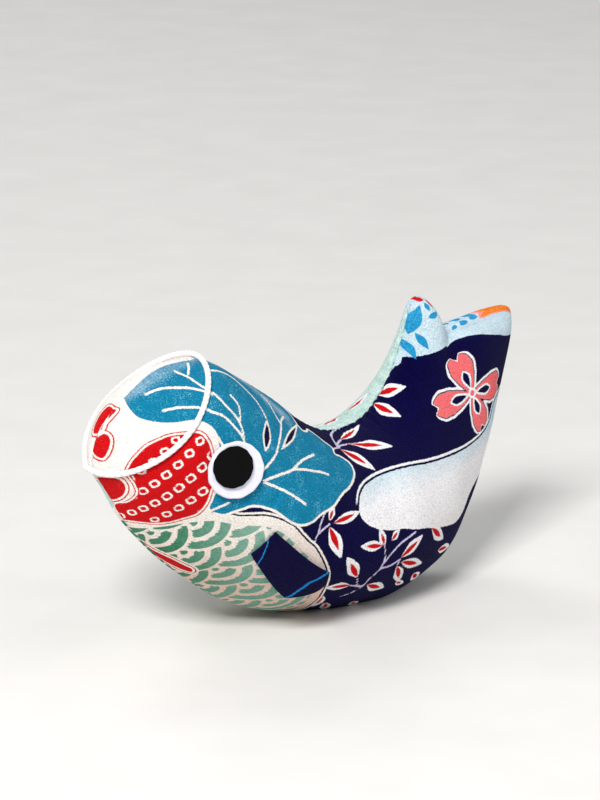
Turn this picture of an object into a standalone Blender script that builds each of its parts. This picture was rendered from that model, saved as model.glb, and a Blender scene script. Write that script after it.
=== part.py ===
"""A small stuffed carp ornament sewn from crepe, in the shape of a carp streamer.

Two side panels meet in one seam that runs all the way round the outline. Inside are loose
wadding, a firmer wad in the tail and a bag of pellets that keeps the belly down. A cord loop
marks the mouth, each eye is a black disc on a white one, and each pectoral fin is a folded
flap held by its front edge only, so it lifts like a page.

Metres, +Z up. The head points to -X and the carp's left side to -Y. The origin is on the
ground, under the middle of the carp.
"""

import math

import bmesh
import bpy
import numpy as np
from mathutils import Matrix, Vector

MM = 0.001

# The seam, in millimetres along X and Z: the nose, then stations from the nose to the tail
# along the back and along the belly. A station joins the points with the same number.
NOSE = (-40.5, 45.0)
BACK_SEAM = [(-33.5, 49.0), (-26.5, 49.5), (-22.0, 48.5), (-10.5, 41.0), (-3.5, 35.5), (4.0, 31.5),
             (12.0, 32.0), (17.0, 36.0), (20.0, 40.5), (22.5, 46.0), (24.0, 50.0), (25.5, 52.5)]
BELLY_SEAM = [(-45.5, 40.5), (-47.0, 34.5), (-44.0, 29.0), (-39.0, 21.5), (-28.5, 11.5), (-14.0, 2.5),
              (9.5, -2.0), (27.5, 2.5), (38.0, 14.5), (44.0, 28.5), (47.5, 39.5), (49.0, 47.0)]
# Half of the stuffed thickness at the nose and at each station, in millimetres.
HALF_WIDTHS = [0.0, 4.0, 8.5, 13.2, 15.8, 17.6, 18.0, 16.5, 12.5, 9.0, 7.0, 6.0, 4.5]
STATIONS = len(BACK_SEAM)
# The X of the seam's points is counted from a line this far behind the middle of the carp.
MIDDLE_X = 0.65

# Roundness of a cross-section: 1 is an ellipse, and more pinches it towards the seam.
ROUNDNESS = 1.1
CHIN_PINCH = 1.7
CHIN_END = 8.0
CHIN_FADE = 3.0

# The tail fin: a notch between a wide lower lobe and a narrow upper one, and a rounded rim.
TAIL_START = STATIONS - 3.0
NOTCH_AT = 0.69
NOTCH_DEPTH = 6.0
NOTCH_SLOPES = (1.35, 2.0)
LOWER_TIP = (0.10, 2.0)
UPPER_TIP = (0.07, 1.5)
RIM_STATIONS = 0.7
NOTCH_THINNING = 0.3

PANEL_THICKNESS = 0.6
GAP = 0.3
FILLING_GAP = 0.55
ANGLE_COLUMNS = 17
SEAM_GAP = 0.15

STUFFING_SPAN = (0.5, 8.6)
TAIL_WAD_SPAN = (8.75, 11.2)
PELLET_CENTRE = (3.5, 0.0, 5.2)
PELLET_RADII = (11.0, 8.0, 4.0)
POCKET_CLEARANCE = 1.0

CORD_RADIUS = 0.5
CORD_STATION = 2.45
CORD_DRAPE = 0.15
# How far the cord is pulled towards the nose under the chin, and over how many degrees.
CHIN_LIFT = (0.42, 26.0)
CORD_POINTS = 56

EYE_STATION = 3.72
EYE_ANGLE = -1.6
EYE_SINK = 0.6
WHITE_RADIUS = 5.0
WHITE_THICKNESS = 1.1
PUPIL_RADIUS = 3.65
PUPIL_THICKNESS = 0.6
PUPIL_FORWARD = 0.75
PUPIL_UP = 1.0

# A fin's corners on the body, as (station, angle): front top, front bottom, rear bottom, rear top.
FIN_CORNERS = [(4.83, -14.2), (4.92, -32.2), (5.78, -42.8), (5.88, -18.3)]
FIN_THICKNESS = 0.7
FIN_FRONT_LIFT = 0.4
FIN_REAR_LIFT = 1.1

THREAD_RADIUS = 0.18
THREAD_SPAN = (8.3, 9.7)
THREAD_CROSSINGS = 10
THREAD_REACH = 1.1

LEFT = -1.0
RIGHT = 1.0


def through(points, at):
    """A Catmull-Rom curve through the points, at parameters where point i is at i."""
    points = np.asarray(points, float)
    ends = np.vstack([2 * points[0] - points[1], points, 2 * points[-1] - points[-2]])
    at = np.asarray(at, float)
    i = np.clip(np.floor(at).astype(int), 0, len(points) - 2)
    f = (at - i)[..., None]
    a, b, c, d = ends[i], ends[i + 1], ends[i + 2], ends[i + 3]
    return 0.5 * (2 * b + (c - a) * f + (2 * a - 5 * b + 4 * c - d) * f**2 + (3 * b - a - 3 * c + d) * f**3)


SEAM_POINTS = np.array(BELLY_SEAM[::-1] + [NOSE] + BACK_SEAM) - (MIDDLE_X, 0.0)


def seam(station, inset=0.0):
    """The outline in XZ: positive stations run along the back, and negative ones along the belly."""
    at = np.asarray(station, float) + STATIONS
    step = 0.01
    along = through(SEAM_POINTS, at + step) - through(SEAM_POINTS, at - step)
    along = along / np.linalg.norm(along, axis=-1, keepdims=True)
    inward = np.stack([along[..., 1], -along[..., 0]], axis=-1)
    return through(SEAM_POINTS, at) + inset * inward


def tail_end(share, station):
    """How far the tail is cut back, for a share of the way from the lower tip to the upper one."""
    grow = np.clip((station - TAIL_START) / (STATIONS - TAIL_START), 0, 1)
    grow = grow * grow * (3 - 2 * grow)
    below = (share / NOTCH_AT) ** NOTCH_SLOPES[0]
    above = np.clip((1 - share) / (1 - NOTCH_AT), 0, 1) ** NOTCH_SLOPES[1]
    notch = NOTCH_DEPTH * np.where(share < NOTCH_AT, below, above)
    lower = LOWER_TIP[1] * (1 - np.sqrt(1 - np.clip(1 - share / LOWER_TIP[0], 0, 1) ** 2))
    upper = UPPER_TIP[1] * (1 - np.sqrt(1 - np.clip(1 - (1 - share) / UPPER_TIP[0], 0, 1) ** 2))
    last = np.clip(station - (STATIONS - 1), 0, 1) ** 2
    return grow * notch + last * (lower + upper), grow


def body_point(station, angle, inset=0.0):
    """One side of the stuffed body, in millimetres: station from the nose, angle from the belly seam
    at -90 degrees to the back seam at +90. The third value is the distance from the middle plane."""
    station = np.asarray(station, float)
    angle = np.radians(np.asarray(angle, float))
    back = seam(station, inset)
    belly = seam(-station, inset)
    share = (1 + np.sin(angle)) / 2
    place = belly + (back - belly) * share[..., None]
    across = back - belly
    outward = np.stack([across[..., 1], -across[..., 0]], axis=-1)
    outward = outward / (np.linalg.norm(outward, axis=-1, keepdims=True) + 1e-9)
    cut, grow = tail_end(share, station)
    place = place - outward * (cut + inset * grow)[..., None]
    rim = np.clip((station - (STATIONS - RIM_STATIONS)) / RIM_STATIONS, 0, 1)
    width = np.maximum(through(np.array(HALF_WIDTHS)[:, None], station)[..., 0] - inset, 0)
    width = width * np.sqrt(1 - rim**2) * (1 - NOTCH_THINNING * grow * np.exp(-(((share - NOTCH_AT) / 0.12) ** 2)))
    chin = np.clip((CHIN_END - station) / CHIN_FADE, 0, 1)
    power = ROUNDNESS + (CHIN_PINCH - ROUNDNESS) * chin * (1 - share)
    half = width * np.maximum(np.cos(angle), 0) ** power
    return np.stack([place[..., 0], half, np.maximum(place[..., 1], inset)], axis=-1)


def surface_frame(station, angle):
    """A point of the left side and its outward normal, before the eye is pressed in."""
    step = 0.02
    along = body_point(station + step, angle) - body_point(station - step, angle)
    around = body_point(station, angle + step * 57) - body_point(station, angle - step * 57)
    normal = np.cross(around, along)
    normal = normal / np.linalg.norm(normal)
    return body_point(station, angle), normal * math.copysign(1, normal[1])


EYE_POINT, EYE_NORMAL = surface_frame(EYE_STATION, EYE_ANGLE)
EYE_SEAT = EYE_POINT - EYE_NORMAL * EYE_SINK


def pressed(points, inset=0.0):
    """The body's points, flattened where the eye is pressed on."""
    height = (points - EYE_SEAT) @ EYE_NORMAL + inset
    near = np.linalg.norm(points - EYE_SEAT, axis=-1) < 2 * WHITE_RADIUS
    return points - np.where(near, np.maximum(height, 0), 0)[..., None] * EYE_NORMAL


def to_side(points, side, gap=0.0):
    """Millimetres measured from the middle plane, as metres on one side of it."""
    return np.stack([points[..., 0], side * (points[..., 1] + gap), points[..., 2]], axis=-1) * MM


def material(name, color, roughness, metallic=0.0):
    made = bpy.data.materials.new(name)
    made.use_nodes = True
    shader = made.node_tree.nodes["Principled BSDF"]
    shader.inputs["Base Color"].default_value = (*color, 1.0)
    shader.inputs["Roughness"].default_value = roughness
    shader.inputs["Metallic"].default_value = metallic
    return made


def add(name, data, collection, finish):
    made = bpy.data.objects.new(name, data)
    data.materials.append(finish)
    collection.objects.link(made)
    return made


def mesh_of(name, points, faces):
    """A closed mesh with its faces pointing out."""
    mesh = bpy.data.meshes.new(name)
    mesh.from_pydata([tuple(p) for p in points], [], faces)
    work = bmesh.new()
    work.from_mesh(mesh)
    bmesh.ops.remove_doubles(work, verts=work.verts, dist=1e-6)
    bmesh.ops.dissolve_degenerate(work, edges=work.edges, dist=1e-6)
    bmesh.ops.recalc_face_normals(work, faces=work.faces)
    work.to_mesh(mesh)
    work.free()
    mesh.shade_smooth()
    mesh.set_sharp_from_angle(angle=math.radians(40))
    return mesh


def grid_faces(rows, columns, first=0):
    """Quads between the points of a grid, row after row."""
    at = first + np.arange(rows * columns).reshape(rows, columns)
    corners = np.stack([at[:-1, :-1], at[1:, :-1], at[1:, 1:], at[:-1, 1:]], axis=-1)
    return [tuple(int(i) for i in face) for face in corners.reshape(-1, 4)]


def panel(name, side, collection, finish):
    """One side of the crepe: the outer face, an inner face one thickness in, and the seam allowance."""
    rows, columns = 33, ANGLE_COLUMNS
    stations = np.concatenate([[0.0, 0.35], np.linspace(0.9, STATIONS - 1, rows - 5), [11.45, 11.8, 12.0]])
    angles = np.linspace(-90, 90, columns)
    station, angle = np.meshgrid(stations, angles, indexing="ij")
    outer = pressed(body_point(station, angle))
    inner = pressed(body_point(station * 0.99, angle, PANEL_THICKNESS), PANEL_THICKNESS)
    points = np.concatenate([outer.reshape(-1, 3), inner.reshape(-1, 3)])
    size = rows * columns
    faces = grid_faces(rows, columns) + grid_faces(rows, columns, size)
    grid = np.arange(size).reshape(rows, columns)
    rim = [*grid[:, 0], *grid[-1, 1:], *grid[-2::-1, -1]]
    for a, b in zip(rim, rim[1:]):
        faces.append((int(a), int(b), int(b) + size, int(a) + size))
    faces.append((0, size, size + columns - 1, columns - 1))
    return add(name, mesh_of(name, to_side(points, side, SEAM_GAP), faces), collection, finish)


def filling(name, span, rows, collection, finish):
    """A solid wad that fills both panels between two stations."""
    columns = ANGLE_COLUMNS
    inset = PANEL_THICKNESS + FILLING_GAP
    station, angle = np.meshgrid(np.linspace(*span, rows), np.linspace(-90, 90, columns), indexing="ij")
    half = pressed(body_point(station, angle, inset), inset)
    # Left side from belly to back, then the right side back down to the belly.
    round_trip = np.concatenate([to_side(half, LEFT), to_side(half, RIGHT)[:, -2:0:-1]], axis=1)
    around = round_trip.shape[1]
    at = np.arange(rows * around).reshape(rows, around)
    faces = []
    for a, b in zip(at, at[1:]):
        for k in range(around):
            after = (k + 1) % around
            faces.append((int(a[k]), int(b[k]), int(b[after]), int(a[after])))
    for ring in (at[0], at[-1]):
        for k in range(columns - 1):
            corners = [ring[k], ring[k + 1], ring[-k - 1], ring[-k]]
            faces.append(tuple(dict.fromkeys(int(corner) for corner in corners)))
    return add(name, mesh_of(name, round_trip.reshape(-1, 3), faces), collection, finish)


def ellipsoid(name, radii, collection, finish):
    """A ball of pellets in its cloth, flattened to the radii given."""
    work = bmesh.new()
    bmesh.ops.create_uvsphere(work, u_segments=20, v_segments=10, radius=1.0)
    bmesh.ops.scale(work, vec=Vector(radii) * MM, verts=work.verts)
    bmesh.ops.translate(work, vec=Vector(PELLET_CENTRE) * MM, verts=work.verts)
    mesh = bpy.data.meshes.new(name)
    work.to_mesh(mesh)
    work.free()
    mesh.shade_smooth()
    return add(name, mesh, collection, finish)


def tube(name, points, radius, closed, collection, finish):
    """A round cord or thread along a line of points in metres."""
    curve = bpy.data.curves.new(name, "CURVE")
    curve.dimensions = "3D"
    curve.bevel_depth = radius * MM
    curve.bevel_resolution = 2
    curve.use_fill_caps = not closed
    line = curve.splines.new("POLY")
    line.points.add(len(points) - 1)
    for point, place in zip(line.points, points):
        point.co = (*place, 1.0)
    line.use_cyclic_u = closed
    return add(name, curve, collection, finish)


def mouth_line():
    """The cord's centre line: it lies on the face all round, and drapes back a little at the sides."""
    turn = np.linspace(0, 2 * math.pi, CORD_POINTS, endpoint=False)
    side = np.where(np.cos(turn) >= 0, LEFT, RIGHT)
    angle = np.degrees(np.arctan2(np.sin(turn), np.abs(np.cos(turn))))
    station = CORD_STATION + CORD_DRAPE * np.cos(turn) ** 2
    station = station - CHIN_LIFT[0] * np.exp(-(((angle + 90) / CHIN_LIFT[1]) ** 2))
    lift = CORD_RADIUS + GAP
    place = body_point(station, angle)
    step = 0.05
    along = body_point(station + step, angle) - body_point(station - step, angle)
    inner = np.clip(angle, -88, 88)
    around = body_point(station, inner + 2) - body_point(station, inner - 2)
    normal = np.cross(around, along)
    normal = normal * np.sign(normal[:, 1:2] + 1e-12)
    at_seam = np.abs(angle) > 80
    out_of_plane = np.stack([normal[:, 0], np.zeros(CORD_POINTS), normal[:, 2]], axis=1)
    normal = np.where(at_seam[:, None], out_of_plane, normal)
    normal = normal / np.linalg.norm(normal, axis=1, keepdims=True)
    place = place + normal * lift
    return np.stack([place[:, 0], side * place[:, 1], place[:, 2]], axis=1) * MM


def disc(name, side, radius, thickness, above, shift, collection, finish):
    """A round-edged disc on the eye's seat. above is its height over the seat, and shift moves it in
    the seat's plane, forwards and up."""
    normal = Vector((EYE_NORMAL[0], side * EYE_NORMAL[1], EYE_NORMAL[2]))
    seat = Vector((EYE_SEAT[0], side * (EYE_SEAT[1] + SEAM_GAP), EYE_SEAT[2]))
    up = Vector((0, 0, 1))
    up = (up - normal * up.dot(normal)).normalized()
    forward = Vector((-1, 0, 0))
    forward = (forward - normal * forward.dot(normal) - up * forward.dot(up)).normalized()
    edge = thickness * 0.45
    steps = 5
    profile = [(0.0, 0.0), (radius - edge, 0.0)]
    for k in range(1, steps + 1):
        turn = math.pi * k / steps
        profile.append((radius - edge + edge * math.sin(turn), thickness / 2 - thickness / 2 * math.cos(turn)))
    profile.append((0.0, thickness))
    mesh = bpy.data.meshes.new(name)
    edges = [(k, k + 1) for k in range(len(profile) - 1)]
    mesh.from_pydata([(x * MM, 0, z * MM) for x, z in profile], edges, [])
    made = add(name, mesh, collection, finish)
    screw = made.modifiers.new("turn", "SCREW")
    screw.steps = 32
    screw.render_steps = 32
    screw.use_merge_vertices = True
    screw.merge_threshold = 1e-5
    screw.use_normal_calculate = True
    screw.use_normal_flip = False
    place = seat + normal * above + forward * shift[0] + up * shift[1]
    axes = Matrix((forward, normal.cross(forward), normal)).transposed()
    made.matrix_world = Matrix.Translation(place * MM) @ axes.to_4x4()
    return made


def fin(name, side, collection, finish):
    """A folded flap of crepe. Its corners are given on the body, it follows the body's bulge between
    them, and it stands further off towards its free rear edge."""
    rows, columns = 9, 7
    back = np.linspace(0, 1, rows)[:, None, None]
    down = np.linspace(0, 1, columns)[None, :, None]
    front_top, front_bottom, rear_bottom, rear_top = (np.array(corner) for corner in FIN_CORNERS)
    front = front_top * (1 - down) + front_bottom * down
    rear = rear_top * (1 - down) + rear_bottom * down
    where = front * (1 - back) + rear * back
    station, angle = where[..., 0], where[..., 1]
    place = body_point(station, angle)
    along = body_point(station + 0.05, angle) - body_point(station - 0.05, angle)
    around = body_point(station, angle + 2) - body_point(station, angle - 2)
    normal = np.cross(around, along)
    normal = normal / np.linalg.norm(normal, axis=-1, keepdims=True)
    normal = normal * np.sign(normal[..., 1:2])
    lift = FIN_FRONT_LIFT + (FIN_REAR_LIFT - FIN_FRONT_LIFT) * back**1.5
    under = place + normal * lift
    over = under + normal * FIN_THICKNESS
    size = rows * columns
    points = np.concatenate([under.reshape(-1, 3), over.reshape(-1, 3)])
    faces = grid_faces(rows, columns) + grid_faces(rows, columns, size)
    grid = np.arange(size).reshape(rows, columns)
    rim = [*grid[:, 0], *grid[-1, 1:], *grid[-2::-1, -1], *grid[0, -2::-1]]
    for a, b in zip(rim, rim[1:]):
        faces.append((int(a), int(b), int(b) + size, int(a) + size))
    return add(name, mesh_of(name, to_side(points, side, SEAM_GAP), faces), collection, finish)


def closing_line():
    """The thread that closes the last stretch of the seam: it goes over the seam from side to side."""
    station = np.linspace(*THREAD_SPAN, THREAD_CROSSINGS)
    edge = seam(-station, -(THREAD_RADIUS + GAP))
    side = np.where(np.arange(THREAD_CROSSINGS) % 2 == 0, LEFT, RIGHT)
    place = np.stack([edge[:, 0], side * THREAD_REACH, edge[:, 1]], axis=1)
    return place * MM


def cut(target, cutter):
    boolean = target.modifiers.new("cut", "BOOLEAN")
    boolean.operation = "DIFFERENCE"
    boolean.object = cutter


def build():
    for old in list(bpy.data.objects):
        bpy.data.objects.remove(old, do_unlink=True)
    carp = bpy.data.collections.new("carp_streamer")
    cutters = bpy.data.collections.new("cutters")
    bpy.context.scene.collection.children.link(carp)
    bpy.context.scene.collection.children.link(cutters)

    print_left = material("crepe_left", (0.05, 0.12, 0.35), 0.85)
    print_right = material("crepe_right", (0.55, 0.72, 0.70), 0.85)
    wadding = material("wadding", (0.90, 0.89, 0.85), 0.95)
    pellets = material("pellet_cloth", (0.80, 0.76, 0.66), 0.9)
    cord_white = material("cord_white", (0.92, 0.92, 0.90), 0.6)
    eye_white = material("eye_white", (0.90, 0.89, 0.95), 0.55)
    eye_black = material("eye_black", (0.01, 0.01, 0.01), 0.6)
    navy = material("crepe_navy", (0.01, 0.01, 0.08), 0.85)
    thread = material("thread", (0.02, 0.02, 0.10), 0.7)

    for word, side, finish in (("left", LEFT, print_left), ("right", RIGHT, print_right)):
        panel(f"panel_{word}", side, carp, finish)
        disc(f"eye_white_{word}", side, WHITE_RADIUS, WHITE_THICKNESS, GAP, (0, 0), carp, eye_white)
        height = 2 * GAP + WHITE_THICKNESS
        shift = (PUPIL_FORWARD, PUPIL_UP)
        disc(f"eye_pupil_{word}", side, PUPIL_RADIUS, PUPIL_THICKNESS, height, shift, carp, eye_black)
        fin(f"pectoral_fin_{word}", side, carp, navy)

    stuffing = filling("stuffing", STUFFING_SPAN, 18, carp, wadding)
    filling("tail_wadding", TAIL_WAD_SPAN, 9, carp, wadding)
    ellipsoid("pellet_bag", PELLET_RADII, carp, pellets)
    pocket_radii = [radius + POCKET_CLEARANCE for radius in PELLET_RADII]
    pocket = ellipsoid("pellet_pocket", pocket_radii, cutters, wadding)
    pocket.hide_render = True
    pocket.display_type = "WIRE"
    cut(stuffing, pocket)

    tube("mouth_cord", mouth_line(), CORD_RADIUS, True, carp, cord_white)
    tube("closing_thread", closing_line(), THREAD_RADIUS, False, carp, thread)


build()
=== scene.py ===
# %% [markdown]
# # A stuffed carp in the form of a carp streamer
# The real object is a palm-sized ornament sewn from printed crepe. Two side panels are stitched
# along the outline, turned and stuffed. A white cord marks the mouth, two discs make each eye,
# and a folded flap of navy crepe makes each pectoral fin.
#
# The imported model gives the frame: the places, the sizes and the bodies that move. Everything
# below only dresses that frame, so the first step is to load it.

# %% Load the frame
import math

import bmesh
import bpy
import numpy as np
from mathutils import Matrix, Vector


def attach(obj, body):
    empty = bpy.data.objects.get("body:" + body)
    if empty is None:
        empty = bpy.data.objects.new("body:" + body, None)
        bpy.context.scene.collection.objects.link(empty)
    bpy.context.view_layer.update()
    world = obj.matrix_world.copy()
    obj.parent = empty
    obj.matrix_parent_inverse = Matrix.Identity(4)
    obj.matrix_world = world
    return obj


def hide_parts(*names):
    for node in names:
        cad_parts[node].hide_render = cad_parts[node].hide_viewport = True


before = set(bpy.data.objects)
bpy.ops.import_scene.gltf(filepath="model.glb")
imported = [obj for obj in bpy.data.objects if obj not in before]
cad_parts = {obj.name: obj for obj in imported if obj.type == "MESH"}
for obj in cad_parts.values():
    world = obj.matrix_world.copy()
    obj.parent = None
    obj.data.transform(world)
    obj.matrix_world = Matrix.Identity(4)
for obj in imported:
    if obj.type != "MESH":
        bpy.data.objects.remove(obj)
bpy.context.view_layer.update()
MM = 0.001
LEFT = -1.0
RIGHT = 1.0

# %% [markdown]
# ## The camera
# A long lens from a little above the table, turned to the carp's left cheek. The carp sits below
# the middle of a tall frame, so the camera aims at a point above it instead of using lens shift.

# %% Place the camera
AZIMUTH = math.radians(-40.0)
ELEVATION = math.radians(15.6)
DISTANCE = 0.7
LOOK_AT = Vector((-0.00065, 0.0, 0.020))
AIM_ABOVE = 0.0169
AIM_LEFT = 0.00088
LENS = 179.0

back = Vector((math.sin(AZIMUTH) * math.cos(ELEVATION), -math.cos(AZIMUTH) * math.cos(ELEVATION),
               math.sin(ELEVATION)))
right = Vector((math.cos(AZIMUTH), math.sin(AZIMUTH), 0.0))
above = back.cross(right)
camera = bpy.data.objects.new("camera", bpy.data.cameras.new("camera"))
bpy.context.scene.collection.objects.link(camera)
camera.data.lens = LENS
camera.location = LOOK_AT + back * DISTANCE + above * AIM_ABOVE - right * AIM_LEFT
camera.rotation_euler = back.to_track_quat("Z", "Y").to_euler()
bpy.context.scene.camera = camera
print("camera at", [round(x, 3) for x in camera.location])

# %% [markdown]
# ## The studio
# Crepe shows its grain when the light comes from one side, so one large soft key light stands to
# the left of the camera and above, and a weaker one fills from the right. The floor is a plain
# pale sheet and the world a pale grey. A standard view transform keeps the dyes as they are.

# %% Light the studio
bpy.context.scene.view_settings.view_transform = "Standard"


def area_light(name, place, size, power):
    """A square light at a place, facing the carp."""
    light = bpy.data.lights.new(name, "AREA")
    light.size = size
    light.energy = power
    lamp = bpy.data.objects.new(name, light)
    lamp.location = place
    lamp.rotation_euler = (Vector(place) - LOOK_AT).to_track_quat("Z", "Y").to_euler()
    bpy.context.scene.collection.objects.link(lamp)


area_light("key", (-0.62, -0.40, 0.70), 0.30, 10.5)
area_light("fill", (0.75, -0.55, 0.45), 0.6, 2.6)
area_light("rim", (0.1, 0.8, 0.8), 0.5, 3.0)
world = bpy.data.worlds.new("studio")
world.use_nodes = True
world.node_tree.nodes["Background"].inputs["Color"].default_value = (0.85, 0.87, 0.9, 1.0)
world.node_tree.nodes["Background"].inputs["Strength"].default_value = 0.34
bpy.context.scene.world = world

floor_mesh = bpy.data.meshes.new("floor")
FLOOR_HALF = 3.0
floor_mesh.from_pydata([(-FLOOR_HALF, -FLOOR_HALF, 0), (FLOOR_HALF, -FLOOR_HALF, 0),
                        (FLOOR_HALF, FLOOR_HALF, 0), (-FLOOR_HALF, FLOOR_HALF, 0)], [], [(0, 1, 2, 3)])
floor = bpy.data.objects.new("floor", floor_mesh)
bpy.context.scene.collection.objects.link(floor)
print("floor and three lights")

# %% [markdown]
# ## Shader maths as plain expressions
# A material here is written as a formula. A small class wraps a node's output socket, so that
# `a * 2 + b` adds the Math nodes that it means.

# %% A socket that does sums


def linear(red, green, blue):
    """A dye given as 0 to 255 on a colour card, as the linear values that a shader wants. The formula
    is the usual one for screens: a straight foot and then a power of 2.4."""
    card = np.array([red, green, blue]) / 255.0
    light = np.where(card <= 0.04045, card / 12.92, ((card + 0.055) / 1.055) ** 2.4)
    return (*(float(x) for x in light), 1.0)


class Val:
    """An output socket of a node, with the operators of ordinary sums."""

    def __init__(self, finish, socket):
        self.finish = finish
        self.socket = socket

    def _math(self, operation, *others):
        return self.finish.node("ShaderNodeMath", {"operation": operation}, [self, *others])

    def __add__(self, other):
        return self._math("ADD", other)

    def __sub__(self, other):
        return self._math("SUBTRACT", other)

    def __rsub__(self, other):
        return self.finish.node("ShaderNodeMath", {"operation": "SUBTRACT"}, [other, self])

    def __mul__(self, other):
        return self._math("MULTIPLY", other)

    __radd__ = __add__
    __rmul__ = __mul__

    def at_most(self, other):
        return self._math("MINIMUM", other)

    def edge(self, soft):
        """0 to 1 across zero, over a width of soft."""
        return self.finish.node("ShaderNodeMath", {"operation": "MULTIPLY_ADD", "use_clamp": True},
                                [self, 1.0 / soft, 0.5])


class Finish:
    """A material under construction: its nodes, its colour and the Principled shader it ends in."""

    def __init__(self, name, roughness, **constants):
        self.made = bpy.data.materials.new(name)
        self.made.use_nodes = True
        self.tree = self.made.node_tree
        self.shader = self.tree.nodes["Principled BSDF"]
        self.shader.inputs["Roughness"].default_value = roughness
        for socket, value in constants.items():
            self.shader.inputs[socket.replace("_", " ")].default_value = value

    def node(self, kind, settings=None, inputs=None, output=0):
        """One node: its settings first, then values or links for its sockets, by place or name."""
        made = self.tree.nodes.new(kind)
        for key, value in (settings or {}).items():
            setattr(made, key, value)
        pairs = inputs.items() if isinstance(inputs, dict) else enumerate(inputs or [])
        for key, value in pairs:
            if isinstance(value, Val):
                self.tree.links.new(value.socket, made.inputs[key])
            else:
                made.inputs[key].default_value = value
        return Val(self, made.outputs[output])

    def attribute(self, name):
        return self.node("ShaderNodeAttribute", {"attribute_name": name}, output="Fac")

    def cloth(self, stretch=(1.0, 1.0)):
        """The place on the cloth in millimetres, stretched where threads are longer than wide."""
        place = self.node("ShaderNodeAttribute", {"attribute_name": "cloth"}, output="Vector")
        return self.node("ShaderNodeVectorMath", {"operation": "MULTIPLY"}, [place, (*stretch, 1.0)])

    def noise(self, place, scale, detail=2.0, rough=0.5):
        """Noise from -0.5 to 0.5."""
        made = self.node("ShaderNodeTexNoise", {"noise_dimensions": "3D"},
                         {"Vector": place, "Scale": scale, "Detail": detail, "Roughness": rough})
        return made - 0.5

    def blend(self, share, below, over):
        """A colour below, covered by the colour over where share is 1."""
        return self.node("ShaderNodeMix", {"data_type": "RGBA", "clamp_factor": True},
                         {0: share, 6: below, 7: over}, output=2)

    def end(self, color=None, roughness=None, bump=None, distance=0.0001, strength=1.0):
        """Links what varies and gives the material."""
        if color is not None:
            self.tree.links.new(color.socket, self.shader.inputs["Base Color"])
        if roughness is not None:
            self.tree.links.new(roughness.socket, self.shader.inputs["Roughness"])
        if bump is not None:
            normal = self.node("ShaderNodeBump", {},
                               {"Strength": strength, "Distance": distance, "Height": bump})
            self.tree.links.new(normal.socket, self.shader.inputs["Normal"])
        return self.made


def floor_finish():
    """Pale paper with a faint mottle."""
    paper = Finish("studio_paper", 0.9)
    place = paper.node("ShaderNodeTexCoord", output="Object")
    mottle = paper.noise(place, 60.0) + 0.5
    return paper.end(paper.blend(mottle, linear(222, 220, 216), linear(232, 230, 226)))


floor_mesh.materials.append(floor_finish())

# %% [markdown]
# ## The stuffed outline
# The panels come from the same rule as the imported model: a back seam and a belly seam, read at
# stations from the nose to the tail, and between them a section that swells to a half-width.
# Restating the rule gives the same surface at any fineness, which is what cloth needs.

# %% The rule of the body
NOSE = (-40.5, 45.0)
BACK_SEAM = [(-33.5, 49.0), (-26.5, 49.5), (-22.0, 48.5), (-10.5, 41.0), (-3.5, 35.5), (4.0, 31.5),
             (12.0, 32.0), (17.0, 36.0), (20.0, 40.5), (22.5, 46.0), (24.0, 50.0), (25.5, 52.5)]
BELLY_SEAM = [(-45.5, 40.5), (-47.0, 34.5), (-44.0, 29.0), (-39.0, 21.5), (-28.5, 11.5), (-14.0, 2.5),
              (9.5, -2.0), (27.5, 2.5), (38.0, 14.5), (44.0, 28.5), (47.5, 39.5), (49.0, 47.0)]
HALF_WIDTHS = [0.0, 4.0, 8.5, 13.2, 15.8, 17.6, 18.0, 16.5, 12.5, 9.0, 7.0, 6.0, 4.5]
STATIONS = len(BACK_SEAM)
MIDDLE_X = 0.65
ROUNDNESS = 1.1
CHIN_PINCH = 1.7
CHIN_END = 8.0
CHIN_FADE = 3.0
TAIL_START = STATIONS - 3.0
NOTCH_AT = 0.69
NOTCH_DEPTH = 6.0
NOTCH_SLOPES = (1.35, 2.0)
NOTCH_SPREAD = 0.12
LOWER_TIP = (0.10, 2.0)
UPPER_TIP = (0.07, 1.5)
RIM_STATIONS = 0.7
NOTCH_THINNING = 0.3


def through(points, at):
    """A Catmull-Rom curve through the points, at parameters where point i is at i."""
    points = np.asarray(points, float)
    ends = np.vstack([2 * points[0] - points[1], points, 2 * points[-1] - points[-2]])
    at = np.asarray(at, float)
    i = np.clip(np.floor(at).astype(int), 0, len(points) - 2)
    f = (at - i)[..., None]
    a, b, c, d = ends[i], ends[i + 1], ends[i + 2], ends[i + 3]
    return 0.5 * (2 * b + (c - a) * f + (2 * a - 5 * b + 4 * c - d) * f**2 + (3 * b - a - 3 * c + d) * f**3)


SEAM_POINTS = np.array(BELLY_SEAM[::-1] + [NOSE] + BACK_SEAM) - (MIDDLE_X, 0.0)


def seam(station, inset=0.0):
    """The outline in XZ, in millimetres: positive stations run along the back, negative ones along
    the belly. An inset moves it square to itself, into the body."""
    at = np.asarray(station, float) + STATIONS
    step = 0.01
    along = through(SEAM_POINTS, at + step) - through(SEAM_POINTS, at - step)
    along = along / np.linalg.norm(along, axis=-1, keepdims=True)
    inward = np.stack([along[..., 1], -along[..., 0]], axis=-1)
    return through(SEAM_POINTS, at) + inset * inward


print(len(BACK_SEAM) + len(BELLY_SEAM), "seam points")

# %% [markdown]
# ## Between the seams
# A point of one half lies between the two seams by the sine of its angle, and stands off the
# middle plane by the half-width. The tail's end is cut back to a notch with two rounded tips, and
# the chin is pinched. The eye presses the cloth flat under it.

# %% Find points of the body
EYE_STATION = 3.72
EYE_ANGLE = -1.6
EYE_SINK = 0.6
WHITE_RADIUS = 5.0
SMALL_STEP = (0.04, 1.5)


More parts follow.
